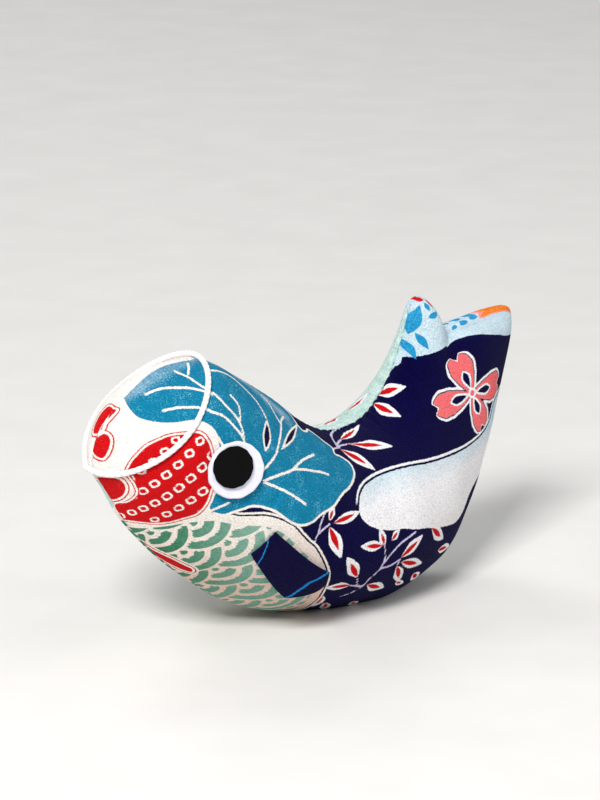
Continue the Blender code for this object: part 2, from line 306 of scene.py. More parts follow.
def tail_end(share, station):
    """How far the tail is cut back, for a share of the way from the lower tip to the upper one: a
    notch of two power curves, and a quarter circle at each tip."""
    grow = np.clip((station - TAIL_START) / (STATIONS - TAIL_START), 0, 1)
    grow = grow * grow * (3 - 2 * grow)
    below = (share / NOTCH_AT) ** NOTCH_SLOPES[0]
    over = np.clip((1 - share) / (1 - NOTCH_AT), 0, 1) ** NOTCH_SLOPES[1]
    notch = NOTCH_DEPTH * np.where(share < NOTCH_AT, below, over)
    lower = LOWER_TIP[1] * (1 - np.sqrt(1 - np.clip(1 - share / LOWER_TIP[0], 0, 1) ** 2))
    upper = UPPER_TIP[1] * (1 - np.sqrt(1 - np.clip(1 - (1 - share) / UPPER_TIP[0], 0, 1) ** 2))
    last = np.clip(station - (STATIONS - 1), 0, 1) ** 2
    return grow * notch + last * (lower + upper), grow


def body_point(station, angle, inset=0.0):
    """One half of the body, in millimetres. The angle goes from -90 degrees at the belly seam to +90
    at the back seam: its sine is the place between them, and the half-width times a power of its
    cosine is the distance from the middle plane."""
    station = np.asarray(station, float)
    angle = np.radians(np.asarray(angle, float))
    top = seam(station, inset)
    bottom = seam(-station, inset)
    share = (1 + np.sin(angle)) / 2
    place = bottom + (top - bottom) * share[..., None]
    across = top - bottom
    outward = np.stack([across[..., 1], -across[..., 0]], axis=-1)
    outward = outward / (np.linalg.norm(outward, axis=-1, keepdims=True) + 1e-9)
    cut, grow = tail_end(share, station)
    place = place - outward * (cut + inset * grow)[..., None]
    rim = np.clip((station - (STATIONS - RIM_STATIONS)) / RIM_STATIONS, 0, 1)
    width = np.maximum(through(np.array(HALF_WIDTHS)[:, None], station)[..., 0] - inset, 0)
    thinning = NOTCH_THINNING * grow * np.exp(-(((share - NOTCH_AT) / NOTCH_SPREAD) ** 2))
    width = width * np.sqrt(1 - rim**2) * (1 - thinning)
    chin = np.clip((CHIN_END - station) / CHIN_FADE, 0, 1)
    power = ROUNDNESS + (CHIN_PINCH - ROUNDNESS) * chin * (1 - share)
    half = width * np.maximum(np.cos(angle), 0) ** power
    return np.stack([place[..., 0], half, np.maximum(place[..., 1], inset)], axis=-1)


def unit(vectors):
    """Vectors of length one."""
    return vectors / (np.linalg.norm(vectors, axis=-1, keepdims=True) + 1e-12)


def normal_at(station, angle):
    """The outward normal of the left half, from two small steps along the surface."""
    angle = np.clip(angle, -88.0, 88.0)
    along = body_point(station + SMALL_STEP[0], angle) - body_point(station - SMALL_STEP[0], angle)
    around = body_point(station, angle + SMALL_STEP[1]) - body_point(station, angle - SMALL_STEP[1])
    normal = unit(np.cross(around, along))
    return normal * np.where(normal[..., 1:2] < 0, -1.0, 1.0)


EYE_NORMAL = normal_at(np.array(EYE_STATION), np.array(EYE_ANGLE))
EYE_SEAT = body_point(EYE_STATION, EYE_ANGLE) - EYE_NORMAL * EYE_SINK


def pressed(points, inset=0.0):
    """The body's points, flattened where the eye is pressed on."""
    height = (points - EYE_SEAT) @ EYE_NORMAL + inset
    near = np.linalg.norm(points - EYE_SEAT, axis=-1) < 2 * WHITE_RADIUS
    return points - np.where(near, np.maximum(height, 0), 0)[..., None] * EYE_NORMAL


def to_side(points, side, gap=0.0):
    """Millimetres measured from the middle plane, as metres on one side of it."""
    return np.stack([points[..., 0], side * (points[..., 1] + gap), points[..., 2]], axis=-1) * MM


print("eye seat at", EYE_SEAT.round(2), "mm")

# %% [markdown]
# ## The cloth laid flat
# A print is made on flat cloth, so its motifs need flat coordinates. They are found as a sewer
# would: lay a net of threads on the stuffed form, keep each thread's length, and press the net
# flat. It starts from the arc lengths and then relaxes until every thread is nearly as long as
# on the form. The result is in millimetres, with the head to the left.

# %% Press the panel flat
NET_ROWS = 73
NET_COLUMNS = 37
NET_ROUNDS = 600
DIAGONAL_WEIGHT = 0.6
OVERSHOOT = 1.8
SHORTEST_THREAD = 0.3
MIDDLE_STATION = STATIONS // 2


def press_flat():
    """Flat coordinates of a net of threads. Each round moves both ends of a thread towards its true
    length and averages the moves, weighted by one over that length."""
    station, angle = np.meshgrid(np.linspace(0, STATIONS, NET_ROWS), np.linspace(-90, 90, NET_COLUMNS),
                                 indexing="ij")
    form = body_point(station, angle)
    mid = NET_COLUMNS // 2
    steps = np.linalg.norm(np.diff(form, axis=1), axis=-1)
    arc = np.concatenate([np.zeros((NET_ROWS, 1)), np.cumsum(steps, axis=1)], axis=1)
    arc = arc - arc[:, mid:mid + 1]
    side_view = form[..., [0, 2]]
    across = side_view[:, -1] - side_view[:, 0]
    across[0] = across[1]
    across = unit(across)
    spine = np.diff(form[:, mid], axis=0)
    spine = unit(spine[:, [0, 2]]) * np.linalg.norm(spine, axis=-1, keepdims=True)
    line = np.concatenate([np.zeros((1, 2)), np.cumsum(spine, axis=0)])
    middle = NET_ROWS * MIDDLE_STATION // STATIONS
    line = line + side_view[middle, mid] - line[middle]
    flat = line[:, None] + across[:, None] * arc[..., None]
    low, high, every = slice(None, -1), slice(1, None), slice(None)
    links = [((low, every), (high, every), 1.0), ((every, low), (every, high), 1.0),
             ((low, low), (high, high), DIAGONAL_WEIGHT), ((high, low), (low, high), DIAGONAL_WEIGHT)]
    lengths = [np.linalg.norm(form[b] - form[a], axis=-1) for a, b, _ in links]
    for _ in range(NET_ROUNDS):
        move = np.zeros_like(flat)
        total = np.zeros(flat.shape[:2])
        for (a, b, weight), length in zip(links, lengths):
            thread = flat[b] - flat[a]
            now = np.linalg.norm(thread, axis=-1)
            share = weight / (length + SHORTEST_THREAD)
            stretch = np.where(now > 1e-9, (now - length) / np.maximum(now, 1e-9), 0)
            pull = (share * stretch)[..., None] * thread / 2
            move[a] += pull
            move[b] -= pull
            total[a] += share
            total[b] += share
        flat += OVERSHOOT * move / total[..., None]
        flat[0] = flat[0].mean(0)
    return flat


FLAT = press_flat()


def cloth_at(station, angle):
    """Flat coordinates of any points of the panel, read between the net's threads."""
    row = np.clip(station / STATIONS * (NET_ROWS - 1), 0, NET_ROWS - 1.001)
    column = np.clip((angle + 90) / 180 * (NET_COLUMNS - 1), 0, NET_COLUMNS - 1.001)
    i, j = row.astype(int), column.astype(int)
    f, g = (row - i)[..., None], (column - j)[..., None]
    near = FLAT[i, j] * (1 - g) + FLAT[i, j + 1] * g
    far = FLAT[i + 1, j] * (1 - g) + FLAT[i + 1, j + 1] * g
    return near * (1 - f) + far * f


print("flat panel:", FLAT.min((0, 1)).round(1), "to", FLAT.max((0, 1)).round(1), "mm")

# %% [markdown]
# ## Drawing on the flat cloth
# Each colour of the print is a field: a number at every point of the cloth that is the distance
# in millimetres to the edge of the printed shape, positive inside. A field stays exact however
# coarse the mesh is, and the material later cuts it at zero, so the edge stays sharp and can be
# given the small wobble of dye on crinkled threads.

# %% Fields for shapes, lines and leaves


def smooth_line(points, closed=False, per_point=10):
    """A line through a few points, with about ten short pieces between two of them."""
    points = np.asarray(points, float)
    if closed:
        ring = np.vstack([points[-2:], points, points[:3]])
        at = np.linspace(2, 2 + len(points), len(points) * per_point + 1)
        return through(ring, at)
    return through(points, np.linspace(0, len(points) - 1, (len(points) - 1) * per_point + 1))


def distance_to_line(place, line):
    """The distance from each place to the nearest point of a line of short pieces."""
    best = np.full(place.shape[:-1], 1e9)
    for a, b in zip(line[:-1], line[1:]):
        piece = b - a
        share = np.clip(((place - a) @ piece) / (piece @ piece + 1e-12), 0, 1)
        off = place - a - share[..., None] * piece
        best = np.minimum(best, off[..., 0] ** 2 + off[..., 1] ** 2)
    return np.sqrt(best)


def shape_field(place, points):
    """Distance to a closed smooth outline, positive inside. A place is inside if a line from it to
    the right crosses the outline an odd number of times."""
    line = smooth_line(points, closed=True)
    inside = np.zeros(place.shape[:-1], bool)
    for a, b in zip(line[:-1], line[1:]):
        if a[1] == b[1]:
            continue
        between = (a[1] > place[..., 1]) != (b[1] > place[..., 1])
        reach = a[0] + (place[..., 1] - a[1]) * (b[0] - a[0]) / (b[1] - a[1])
        inside ^= between & (place[..., 0] < reach)
    away = distance_to_line(place, line)
    return np.where(inside, away, -away)


def stroke_field(place, strokes, width):
    """Brush lines of one width: half the width less the distance to the nearest line."""
    fields = [width / 2 - distance_to_line(place, smooth_line(line, per_point=6)) for line in strokes]
    return np.maximum.reduce(fields)


def leaf_field(place, base, tip, width, widest=0.45):
    """A pointed leaf: its half-width rises and falls as two arcs that meet where it is widest."""
    base, tip = np.asarray(base, float), np.asarray(tip, float)
    length = np.linalg.norm(tip - base)
    axis = (tip - base) / length
    along = (place - base) @ axis / length
    side = np.abs((place - base) @ np.array([-axis[1], axis[0]]))
    inner = np.clip(along, -0.2, 1.2)
    arc = np.where(inner < widest, (inner - widest) / widest, (inner - widest) / (1 - widest))
    half = width / 2 * (1 - np.abs(arc) ** 1.6)
    return np.where(np.abs(along - 0.5) < 0.7, half - side, -side - length * (np.abs(along - 0.5) - 0.5))


def ellipse_field(place, centre, radii, turn=0.0):
    """Distance to an ellipse, taken from how far out the place is as a share of the radius."""
    c, s = math.cos(math.radians(turn)), math.sin(math.radians(turn))
    off = place - np.asarray(centre, float)
    x = (off[..., 0] * c + off[..., 1] * s) / radii[0]
    y = (off[..., 1] * c - off[..., 0] * s) / radii[1]
    return (1 - np.hypot(x, y)) * min(radii)


PETAL_NOTCH = (1.5, 1.0)
PETAL_RIPPLE = (0.08, 2.7)


def petal_field(place, centre, turn, length, width):
    """A cherry petal: narrow at the flower's centre, round outside, with a small cut in its tip. The
    half-width is a power of the share of the length, rounded off near the tip, and a little wavy."""
    c, s = math.cos(math.radians(turn)), math.sin(math.radians(turn))
    off = place - np.asarray(centre, float)
    along = off[..., 0] * c + off[..., 1] * s
    side = np.abs(off[..., 1] * c - off[..., 0] * s)
    reach = length - PETAL_NOTCH[0] * np.clip(1 - side / PETAL_NOTCH[1], 0, 1)
    share = np.clip(along / reach, 0, 1)
    half = width / 2 * 1.25 * share**0.62 * np.sqrt(np.clip(1 - share**3.2, 0, 1))
    half = half + PETAL_RIPPLE[0] * share * np.sin(along * PETAL_RIPPLE[1])
    past = -np.hypot(along - reach, side)
    return np.where(along < 0, -np.hypot(along, side), np.where(along > reach, past, half - side))


print("field helpers ready")

# %% [markdown]
# ## Wave scales and dyer's dots
# Two fields repeat. Seigaiha waves are round fans of rings, where each fan covers the one
# behind it. Kanoko dots are small squarish rings on a slanting lattice, left white where the
# cloth was tied off before dyeing.

# %% Repeating fields
WAVE_ROW = 3.7
WAVE_HALF_PITCH = 6.7
WAVE_RADIUS = 7.2
RING_PITCH = 2.8
RING_SHARE = 0.68
WAVE_RIM = 0.45


def wave_field(place, origin, turn):
    """Green rings of the wave fans. Rows of fan centres lie across the turned axis, every other row
    half a pitch aside, and nearer rows cover further ones."""
    c, s = math.cos(math.radians(turn)), math.sin(math.radians(turn))
    off = place - np.asarray(origin, float)
    axis = (off[..., 0] * c + off[..., 1] * s) / WAVE_ROW
    cross = (off[..., 1] * c - off[..., 0] * s) / WAVE_HALF_PITCH
    radius = np.full(place.shape[:-1], WAVE_RADIUS)
    for ahead in (1, 0, -1):
        row = np.floor(axis) + ahead
        shift = np.mod(row, 2)
        column = 2 * np.round((cross - shift) / 2) + shift
        away = np.hypot((axis - row) * WAVE_ROW, (cross - column) * WAVE_HALF_PITCH)
        radius = np.where(away < WAVE_RADIUS, away, radius)
    ring = np.mod(radius + RING_PITCH * (RING_SHARE / 2), RING_PITCH) / RING_PITCH
    half = RING_SHARE / 2
    return np.minimum((half - np.abs(ring - half)) * RING_PITCH, WAVE_RADIUS - WAVE_RIM - radius)


DOT_STEP = np.array([[-1.87, -1.65], [2.0, -2.6]])
DOT_RING = (0.62, 0.2)
DOT_TURN = 20
DOT_WOBBLE = (12.9, 7.3)


def dot_field(place, origin):
    """White rings on the lattice. The distance is between a round and a square one, and each ring's
    size differs a little, from a sum of its lattice numbers."""
    at = (place - np.asarray(origin, float)) @ np.linalg.inv(DOT_STEP)
    whole = np.round(at)
    off = (at - whole) @ DOT_STEP
    wobble = np.sin(whole @ np.array(DOT_WOBBLE))
    slant = math.radians(DOT_TURN) + 0.35 * wobble
    x = off[..., 0] * np.cos(slant) + off[..., 1] * np.sin(slant)
    y = off[..., 1] * np.cos(slant) - off[..., 0] * np.sin(slant)
    away = (np.abs(x) ** 3 + np.abs(y * 1.1) ** 3) ** (1 / 3)
    return DOT_RING[1] - np.abs(away - DOT_RING[0] * (1 + 0.12 * wobble))


print("repeat fields ready")

# %% [markdown]
# ## The left print
# The left panel is cut from a navy stretch of the cloth. From the head back it shows dyer's dots
# on cream, a large teal leaf with pale veins, green waves on the belly, leafy twigs, a long pale
# cloud and a cherry flower, and the pale edge of the next motif at the tail.

# %% Outlines on the left panel
TEAL_LEAF = [(-45.4, 51.5), (-45.6, 48.1), (-44.8, 45.6), (-43.4, 44), (-40.5, 42.9), (-37.6, 42.4),
             (-35.1, 42.1), (-33.2, 41.3), (-31.5, 39.6), (-31, 37.5), (-30.5, 33), (-32.3, 29),
             (-32.8, 26.5), (-30.5, 25.3), (-28, 26), (-25, 26.5), (-21.5, 25.3), (-18.5, 23), (-16.5, 22),
             (-14, 22), (-11.5, 23), (-8.5, 23.7), (-5.8, 25.2), (-2.5, 26.2), (0.3, 28), (1.1, 30.2),
             (0, 32), (-1.3, 32.7), (-0.3, 34.2), (-1.7, 35.9), (-2.6, 37.2), (-4.2, 38.5), (-6, 38),
             (-7.5, 39.3), (-7, 47), (-20, 60), (-45, 60)]
VEINS = [
    [(-22.6, 32.2), (-19.1, 34.3), (-17.1, 36.3), (-15, 38.5), (-13.2, 40.3), (-11.2, 41.2)],
    [(-14.1, 39.6), (-14.3, 41.8), (-13.7, 44.1), (-14, 46)],
    [(-22.6, 30.4), (-19.7, 30.9), (-16.2, 31.3), (-13.2, 32.4), (-10.9, 32.9), (-8.5, 33.2)],
    [(-15.9, 31.4), (-13.2, 31), (-10.9, 30.4), (-9.1, 29.9), (-7.4, 29.1)],
    [(-22.6, 30.1), (-20.3, 29), (-17.9, 27.5), (-16.2, 26.2), (-15, 25.3)],
    [(-31.4, 42.8), (-28.9, 41.6), (-27.1, 39.8), (-25.9, 38.1), (-25.6, 36.5)],
    [(-29.5, 45.7), (-28, 43.6), (-26.5, 41.9), (-25.6, 40.1), (-25.5, 37.8)],
    [(-25.6, 45), (-24.6, 43.1), (-25.4, 40.7)],
    [(-41.5, 48.4), (-39.2, 48.9), (-36.5, 48.8), (-33.6, 48.2), (-31.8, 47.2), (-30, 45.6)],
    [(-39.3, 45), (-36.5, 45.1), (-34.2, 44.5), (-32.7, 43.8), (-31, 42.6)],
    [(-34.2, 51.6), (-32.4, 50.1), (-31.2, 48.1), (-30, 46)],
    [(-30.1, 52.8), (-32, 50.7)],
    [(-30.9, 38.6), (-29.8, 36.6)],
    [(-33.5, 25.6), (-31.8, 26.6), (-29.5, 27.6)],
    [(-27.5, 50), (-25, 49.8), (-22, 48.8), (-19.8, 46.5), (-18.4, 43.5), (-18.3, 40.5)],
]
SLITS = [((-21.4, 35), (-18.2, 40.6), 1.9), ((-17, 35.1), (-7.6, 39.6), 1.5)]
DOTS_SHAPE = [(-45.9, 34.2), (-45.5, 35.8), (-44.6, 37.2), (-43, 38.9), (-41.2, 39.8), (-39, 40.4),
              (-36.5, 40.2), (-34.2, 39.8), (-33, 38.4), (-32.3, 36.5), (-32, 33), (-32.8, 29.8),
              (-33.4, 27.8), (-34.8, 25.5), (-37.1, 24.2), (-39, 23.2), (-41.2, 22.6), (-43.6, 22.3),
              (-46.2, 21.9), (-50, 21), (-51, 24), (-48.6, 26), (-46.2, 27), (-44.5, 29.5), (-44.8, 31.8)]
RED_PETALS = [
    [(-50.4, 40.9), (-49.2, 41.8), (-48.4, 40.9), (-48.6, 39.1), (-49.6, 37.2), (-50.8, 37.6),
     (-51.4, 39.2)],
    [(-50.8, 41.9), (-49.7, 42.4), (-49, 44), (-48, 45.2), (-47.2, 46.5), (-49.2, 46.4), (-51, 43.6)],
    [(-47.1, 32.6), (-46.4, 30.7), (-47.3, 28.2), (-49.5, 26.6), (-52.5, 27), (-52, 32), (-49, 33)],
    [(-43.6, 15.6), (-40.7, 13.9), (-36.9, 12.4), (-33.7, 10.8), (-32.9, 9.7), (-33.3, 8.9), (-36.1, 9.8),
     (-40.4, 12.2), (-43.8, 14.6)],
]
CREAM_FACE = [(-58, 20.5), (-46, 21.5), (-41, 22.3), (-36, 24), (-33, 25), (-31.6, 29), (-30.8, 36),
              (-31.3, 39.5), (-33.5, 41.8), (-38, 44), (-44, 46), (-48, 52), (-60, 50)]
BELLY_SHAPE = [(-60, 21.5), (-47, 21.4), (-41, 23.1), (-36, 24.8), (-32, 25.6), (-29.5, 25.2), (-27.7, 24.7),
               (-25, 24.5), (-22.6, 24.2), (-20.3, 23.3), (-17.9, 21.8), (-16.2, 20), (-14.7, 18.4),
               (-13.2, 17), (-11.5, 14.4), (-9.7, 11), (-8.6, 6.5), (-7.5, 1), (-8, -8), (-20, -14),
               (-60, -10)]
CLOUD = [(-2.7, 21.5), (-2.2, 22.7), (-1.2, 24), (0.6, 25.1), (3, 25.7), (6.5, 26), (12, 25.8),
         (18.8, 25.3), (25, 25.2), (30.5, 25.3), (35, 25.9), (38, 27.4), (42, 31), (56, 30), (52, 18),
         (40, 17.5), (33, 15.5), (29, 13.3), (25.5, 12.3), (22, 12.8), (17, 14), (13.2, 14.9), (10, 15.5),
         (7.4, 16.2), (4.4, 16.6), (1.5, 17.4), (-0.8, 18.5), (-2.4, 20)]
TAIL_BAND = [(14, 42.2), (17.9, 43.9), (22, 43.9), (25, 43.6), (28, 44), (30, 44.7), (32.2, 45.4), (35, 45),
             (38, 44.1), (42.4, 42.6), (45, 41.5), (50.6, 40), (60, 36), (60, 58), (14, 58)]
# Leaves of the twigs: base, tip and width; each red streak takes a fixed share of the length.
TWIG_LEAVES = [
    ((-10, 20.5), (-7.5, 14.2), 2.7), ((-9, 20.9), (-2.3, 21.5), 1.9), ((-9.9, 21.4), (-8.3, 24), 1.5),
    ((2.1, 33.6), (5.8, 27), 2.8), ((5.6, 33.8), (12.5, 30.1), 2.4),
    ((-2.6, 9.3), (-6.5, 14.5), 2.4), ((1.7, 14.6), (-3.7, 15.7), 1.9), ((2.3, 14.4), (1.2, 17.8), 1.8),
    ((4, 14.9), (6.4, 16.4), 1.5), ((6.8, 11.2), (12.6, 14), 2.4), ((7.1, 10.3), (15.2, 7.4), 2.2),
    ((6.3, 9.7), (10.2, 4.5), 2.3), ((9, 4.9), (12.6, 3), 1.5), ((-3.1, 7.4), (-8.4, 7.4), 2.4),
    ((0.5, 7.1), (6.8, 3.7), 2.5), ((15.5, 14.4), (21, 10.4), 2.5), ((12.9, 40.4), (16.9, 34.8), 2.2),
    ((14.3, 41.7), (19.8, 39.6), 2.6), ((-7, 4.5), (-5.5, -2), 2.2), ((1.5, 0.5), (5.5, -3.5), 2.0),
    ((13.5, 5.5), (18.5, 1.5), 2.3), ((20, 8.5), (26.5, 6.5), 2.2), ((-4.5, 1), (-1, -4.5), 2.0),
]
STEMS = [
    [(-9.9, 20.9), (-12.1, 19.9), (-12.9, 19.1), (-13.4, 17.9)],
    [(-10.6, 23.2), (-11.8, 21.5), (-12.6, 19.4)],
    [(-0.9, 33.5), (0.6, 33.9), (2.4, 33.8)],
    [(1.8, 33.9), (3.6, 34.2), (5.6, 33.9)],
    [(-3, 3.5), (-1.5, 4.9), (-0.1, 7.1), (0.3, 8.5), (2.1, 10.6), (2.5, 12.6), (2.2, 14.6), (1.6, 17)],
    [(2.1, 10.9), (3.8, 12.4), (6.2, 13.8), (10.3, 15)],
    [(2.1, 10.4), (4.4, 10.3), (6.9, 10.9)],
    [(-0.1, 6.8), (-1.5, 7.1), (-2.5, 9.1)],
    [(-3.1, 7.4), (-0.3, 6.5)],
    [(6.9, 10.9), (6.3, 9.7)],
]
# A flower's petals: direction in degrees, length and width.
FLOWER = {"centre": (33.0, 34.6),
          "petals": [(107, 8.3, 6.8), (184, 9.9, 6.2), (-5, 9.3, 6.7), (-72, 8.2, 5.9)]}
RIM_DROPS = [((33.6, 48.2), (35.6, 49.4), 1.0), ((35.8, 48.6), (38.6, 49.3), 1.2),
             ((38.8, 48.9), (42, 49), 0.9)]
# Close to the seam the flat cloth is gathered, so these few are placed on the form: the drops of the
# tail's upper lobe in its side view, the last twig of the hollow back in its top view.
TAIL_DROPS = [((22.1, 45.8), (24.6, 50.9), 1.7), ((22.9, 46.2), (24.3, 43.3), 1.4),
              ((21.3, 45.2), (22.0, 41.7), 1.3), ((25.5, 51.2), (25.8, 49.8), 1.0),
              ((25.2, 48.7), (27.6, 49.4), 1.1)]
TAIL_REDS = [((24.2, 51.9), (25.8, 51.6), 0.9), ((26.1, 51.7), (27.2, 50.0), 0.5),
             ((20.3, 43.2), (19.3, 41.2), 0.6)]
BACK_LEAVES = [((3.3, 4.9), (10.3, 2.0), 1.9)]
BACK_STEMS = [[(0.2, 7.6), (1.0, 5.6), (2.4, 3.4), (4.7, 1.4), (7.5, 0.2)],
              [(0.2, 7.6), (1.6, 6.2), (3.4, 4.9)]]
BACK_LEVEL = 25.0
# The teal leaf is painted paler towards this line on the crown, a painted highlight; the dye is full at the
# reach from it.
HIGHLIGHT_LINE = [(-45.5, 49.5), (-41, 51), (-35, 53.5), (-28, 54.5), (-22, 53), (-17, 50), (-13.5, 45.5),
             (-10.5, 41.5)]
HIGHLIGHT_REACH = 2.8
ORANGE_BAND = [(41.5, 48.1), (44.5, 47.4), (47.5, 46), (50.5, 43.6), (52, 44.5), (50.5, 47),
               (46.5, 48.2), (43, 48.6)]
print("outlines of the left print")

# %% [markdown]
# ## The right print
# The right panel is cut from a paler stretch of the same cloth: a mint ground, with the waves
# under the belly, a red dotted shape and a second flower. Only its
# seam edge shows from the carp's left.

# %% Outlines on the right panel
RIGHT_FACE = [(-60, 30), (-48, 33), (-43, 38), (-41, 43), (-30, 45), (-27, 49), (-27, 60), (-60, 60)]
RIGHT_DOTS = [(-24, 44), (-17, 46), (-11, 43), (-8.5, 38), (-11, 33), (-18, 31.5), (-24, 34), (-26.5, 39)]
RIGHT_BELLY = [(-60, 24), (-46, 24), (-38, 28.5), (-30, 28), (-23, 25), (-17, 20), (-13, 13), (-9, 7),
               (-3, 2), (0, -12), (-60, -12)]
RIGHT_PETALS = [
    [(-51, 41.5), (-49.4, 41.7), (-47.9, 43.8), (-47.1, 45.8), (-47.2, 46.8), (-49.2, 46.2), (-51.2, 43.5)],
    [(-24, 22), (-21, 25), (-16, 25), (-13.5, 22), (-15.5, 19), (-21, 19)],
    [(18, 11), (22, 14), (27, 13), (28.5, 9), (25, 6), (20, 7)],
]
RIGHT_CLOUD = [(0, 24), (6, 27.5), (14, 26.5), (22, 28.5), (29, 26), (36, 29), (44, 27), (54, 26),
               (50, 16), (40, 13), (33, 16), (24, 15.5), (15, 18.5), (7, 17.5), (1, 20)]
RIGHT_LEAVES = [((6, 12), (0, 14.5), 2.5), ((6.5, 11.5), (8.5, 5.5), 2.4), ((7, 13), (9, 17.5), 2.0),
                ((12, 34), (6, 36.5), 2.4), ((13, 33.5), (11, 29), 2.2), ((14, 35), (16, 39.5), 2.3),
                ((15, 34), (21, 33), 2.4), ((14, 9), (15.5, 3.5), 2.2), ((13, 10.5), (17.5, 13), 2.0),
                ((-3, 28), (-8.5, 29.5), 2.2), ((-2.5, 27), (-4, 21.5), 2.3)]
RIGHT_STEMS = [[(-1, 9), (6, 12), (13, 9.5), (19, 10)], [(3, 32), (9, 32.5), (14, 34), (20, 38)],
               [(-3, 28), (1, 27), (4, 28.5)]]
RIGHT_FLOWER = {"centre": (31, 38.5), "petals": [(turn, 8, 6.2) for turn in (90, 162, 234, 306, 18)]}
RIGHT_BAND = [(22, 48), (27, 49.5), (33, 48.3), (39, 48), (45, 45.5), (52, 43), (60, 45), (55, 60), (20, 60)]
print("outlines of the right print")

# %% [markdown]
# ## One set of fields for a panel
# A panel's print is a dictionary of fields, one for each thing printed. The material asks for
# every one of them, so a panel that lacks a motif gives a field that is outside everywhere.

# %% Gather the fields
OUTSIDE = -9.0
STEM_WIDTH = 0.42
RIGHT_STEM_WIDTH = 0.45
VEIN_WIDTH = 0.5


def many_leaves(place, leaves, streaks):
    """The widest field of a set of leaves, or of the narrow red streaks down their middles."""
    fields = []
    for base, tip, width in leaves:
        base, tip = np.array(base), np.array(tip)
        if streaks:
            base, tip, width = base - 0.03 * (tip - base), base + 0.77 * (tip - base), width * 0.44
        fields.append(leaf_field(place, base, tip, width, 0.5 if streaks else 0.45))
    return np.maximum.reduce(fields)


def flower_fields(place, flower):
    """Three fields of a cherry flower: its petals, the drop inside each petal, and its eye."""
    centre = np.array(flower["centre"])
    petals = np.maximum.reduce([petal_field(place, centre, *petal) for petal in flower["petals"]])
    drops = []
    for turn, length, _ in flower["petals"]:
        way = np.array([math.cos(math.radians(turn)), math.sin(math.radians(turn))])
        drops.append(leaf_field(place, centre + way * 1.1, centre + way * (0.55 * length), 1.5, 0.65))
    return petals, np.maximum.reduce(drops), ellipse_field(place, centre, (0.8, 0.8))


def field_of(place, outlines):
    """The widest field of several outlines."""
    return np.maximum.reduce([shape_field(place, line) for line in outlines])


def on_the_back(form, field):
    """A field of the top view, kept to the upper side of the body."""
    return np.minimum(field, form[..., 2] - BACK_LEVEL)


def shared_print(flat, outlines, flower, wave, dots, band):
    """The fields that both panels have, from each panel's own outlines."""
    petals, drops, eye = flower_fields(flat, flower)
    cloud, belly, face, dotted, petal_shapes = outlines
    return {
        "cloud": shape_field(flat, cloud), "tail": shape_field(flat, band),
        "belly": shape_field(flat, belly), "face": shape_field(flat, face), "waves": wave_field(flat, *wave),
        "kanoko": shape_field(flat, dotted), "rings": dot_field(flat, dots),
        "petals": field_of(flat, petal_shapes), "flower": petals, "flower_drops": drops, "flower_eye": eye,
        "drops": many_leaves(flat, RIM_DROPS, False), "orange": shape_field(flat, ORANGE_BAND),
    }


def left_print(flat, form):
    """Every field of the left panel, from its flat places and its places on the form."""
    top_view, side_view = form[..., :2], form[..., [0, 2]]
    fields = shared_print(flat, (CLOUD, BELLY_SHAPE, CREAM_FACE, DOTS_SHAPE, RED_PETALS), FLOWER,
                          ((-35.9, 15.6), -33.0), (-38, 35.3), TAIL_BAND)
    for word, narrow in (("leaves", False), ("streaks", True)):
        on_back = on_the_back(form, many_leaves(top_view, BACK_LEAVES, narrow))
        fields[word] = np.maximum(many_leaves(flat, TWIG_LEAVES, narrow), on_back)
    stems = on_the_back(form, stroke_field(top_view, BACK_STEMS, STEM_WIDTH))
    fields["stems"] = np.maximum(stroke_field(flat, STEMS, STEM_WIDTH), stems)
    fields["teal"] = shape_field(flat, TEAL_LEAF)
    fields["veins"] = stroke_field(flat, VEINS, VEIN_WIDTH)
    fields["slits"] = np.maximum.reduce([leaf_field(flat, *slit) for slit in SLITS])
    # The teal leaf's painted highlight, strongest at the line on the crown.
    fields["teal_highlight"] = HIGHLIGHT_REACH - distance_to_line(flat, smooth_line(HIGHLIGHT_LINE))
    fields["drops"] = np.maximum(fields["drops"], many_leaves(side_view, TAIL_DROPS, False))
    fields["red_drops"] = many_leaves(side_view, TAIL_REDS, False)
    fields["pale"] = np.full(flat.shape[:-1], OUTSIDE)
    return fields


def right_print(flat, form):
    """Every field of the right panel."""
    fields = shared_print(flat, (RIGHT_CLOUD, RIGHT_BELLY, RIGHT_FACE, RIGHT_DOTS, RIGHT_PETALS),
                          RIGHT_FLOWER, ((-33, 13), -20.0), (-40, 41), RIGHT_BAND)
    for word, narrow in (("leaves", False), ("streaks", True)):
        fields[word] = many_leaves(flat, RIGHT_LEAVES, narrow)
    fields["stems"] = stroke_field(flat, RIGHT_STEMS, RIGHT_STEM_WIDTH)
    fields["red_drops"] = many_leaves(form[..., [0, 2]], TAIL_REDS, False)
    for word in ("teal", "veins", "slits", "teal_highlight"):
        fields[word] = np.full(flat.shape[:-1], OUTSIDE)
    fields["pale"] = np.full(flat.shape[:-1], -OUTSIDE)
    return fields


print(len(TWIG_LEAVES), "leaves and", len(VEINS), "veins on the left")

# %% [markdown]
# ## Gathers and puckers
# The real panels are thin cloth, pulled tight by the filling and gathered a little by the seam.
# The seam sinks into a groove, and small puckers run off it, deeper along the hollow of the back
# where the cloth is compressed. The filling adds soft lumps under the cloth.

# %% Gather the cloth
GROOVE = (0.42, 0.45)
PUCKER_PITCH = 1.45
PUCKER_REACH = 1.9
PUCKER_LEVEL = 0.62
PUCKER_DEPTH = (0.11, 0.48, 0.05)
HOLLOW = (6.6, 2.2)
JITTER = 0.35
DRAWS = 40
LUMPS = 14
LUMP_LENGTHS = (7.0, 20.0)
LUMP_HEIGHT = 0.06
LUMP_EDGE = 4
TAIL_EASE = 0.75
NOSE_WAY = (-0.8, 0.2, 0.55)
FLOOR_ROOM = 0.02


def arc_along(points, axis):
    """Length along one direction of a grid, from its start."""
    steps = np.linalg.norm(np.diff(points, axis=axis), axis=-1)
    return np.concatenate([np.zeros_like(np.take(steps, [0], axis)), np.cumsum(steps, axis=axis)], axis=axis)


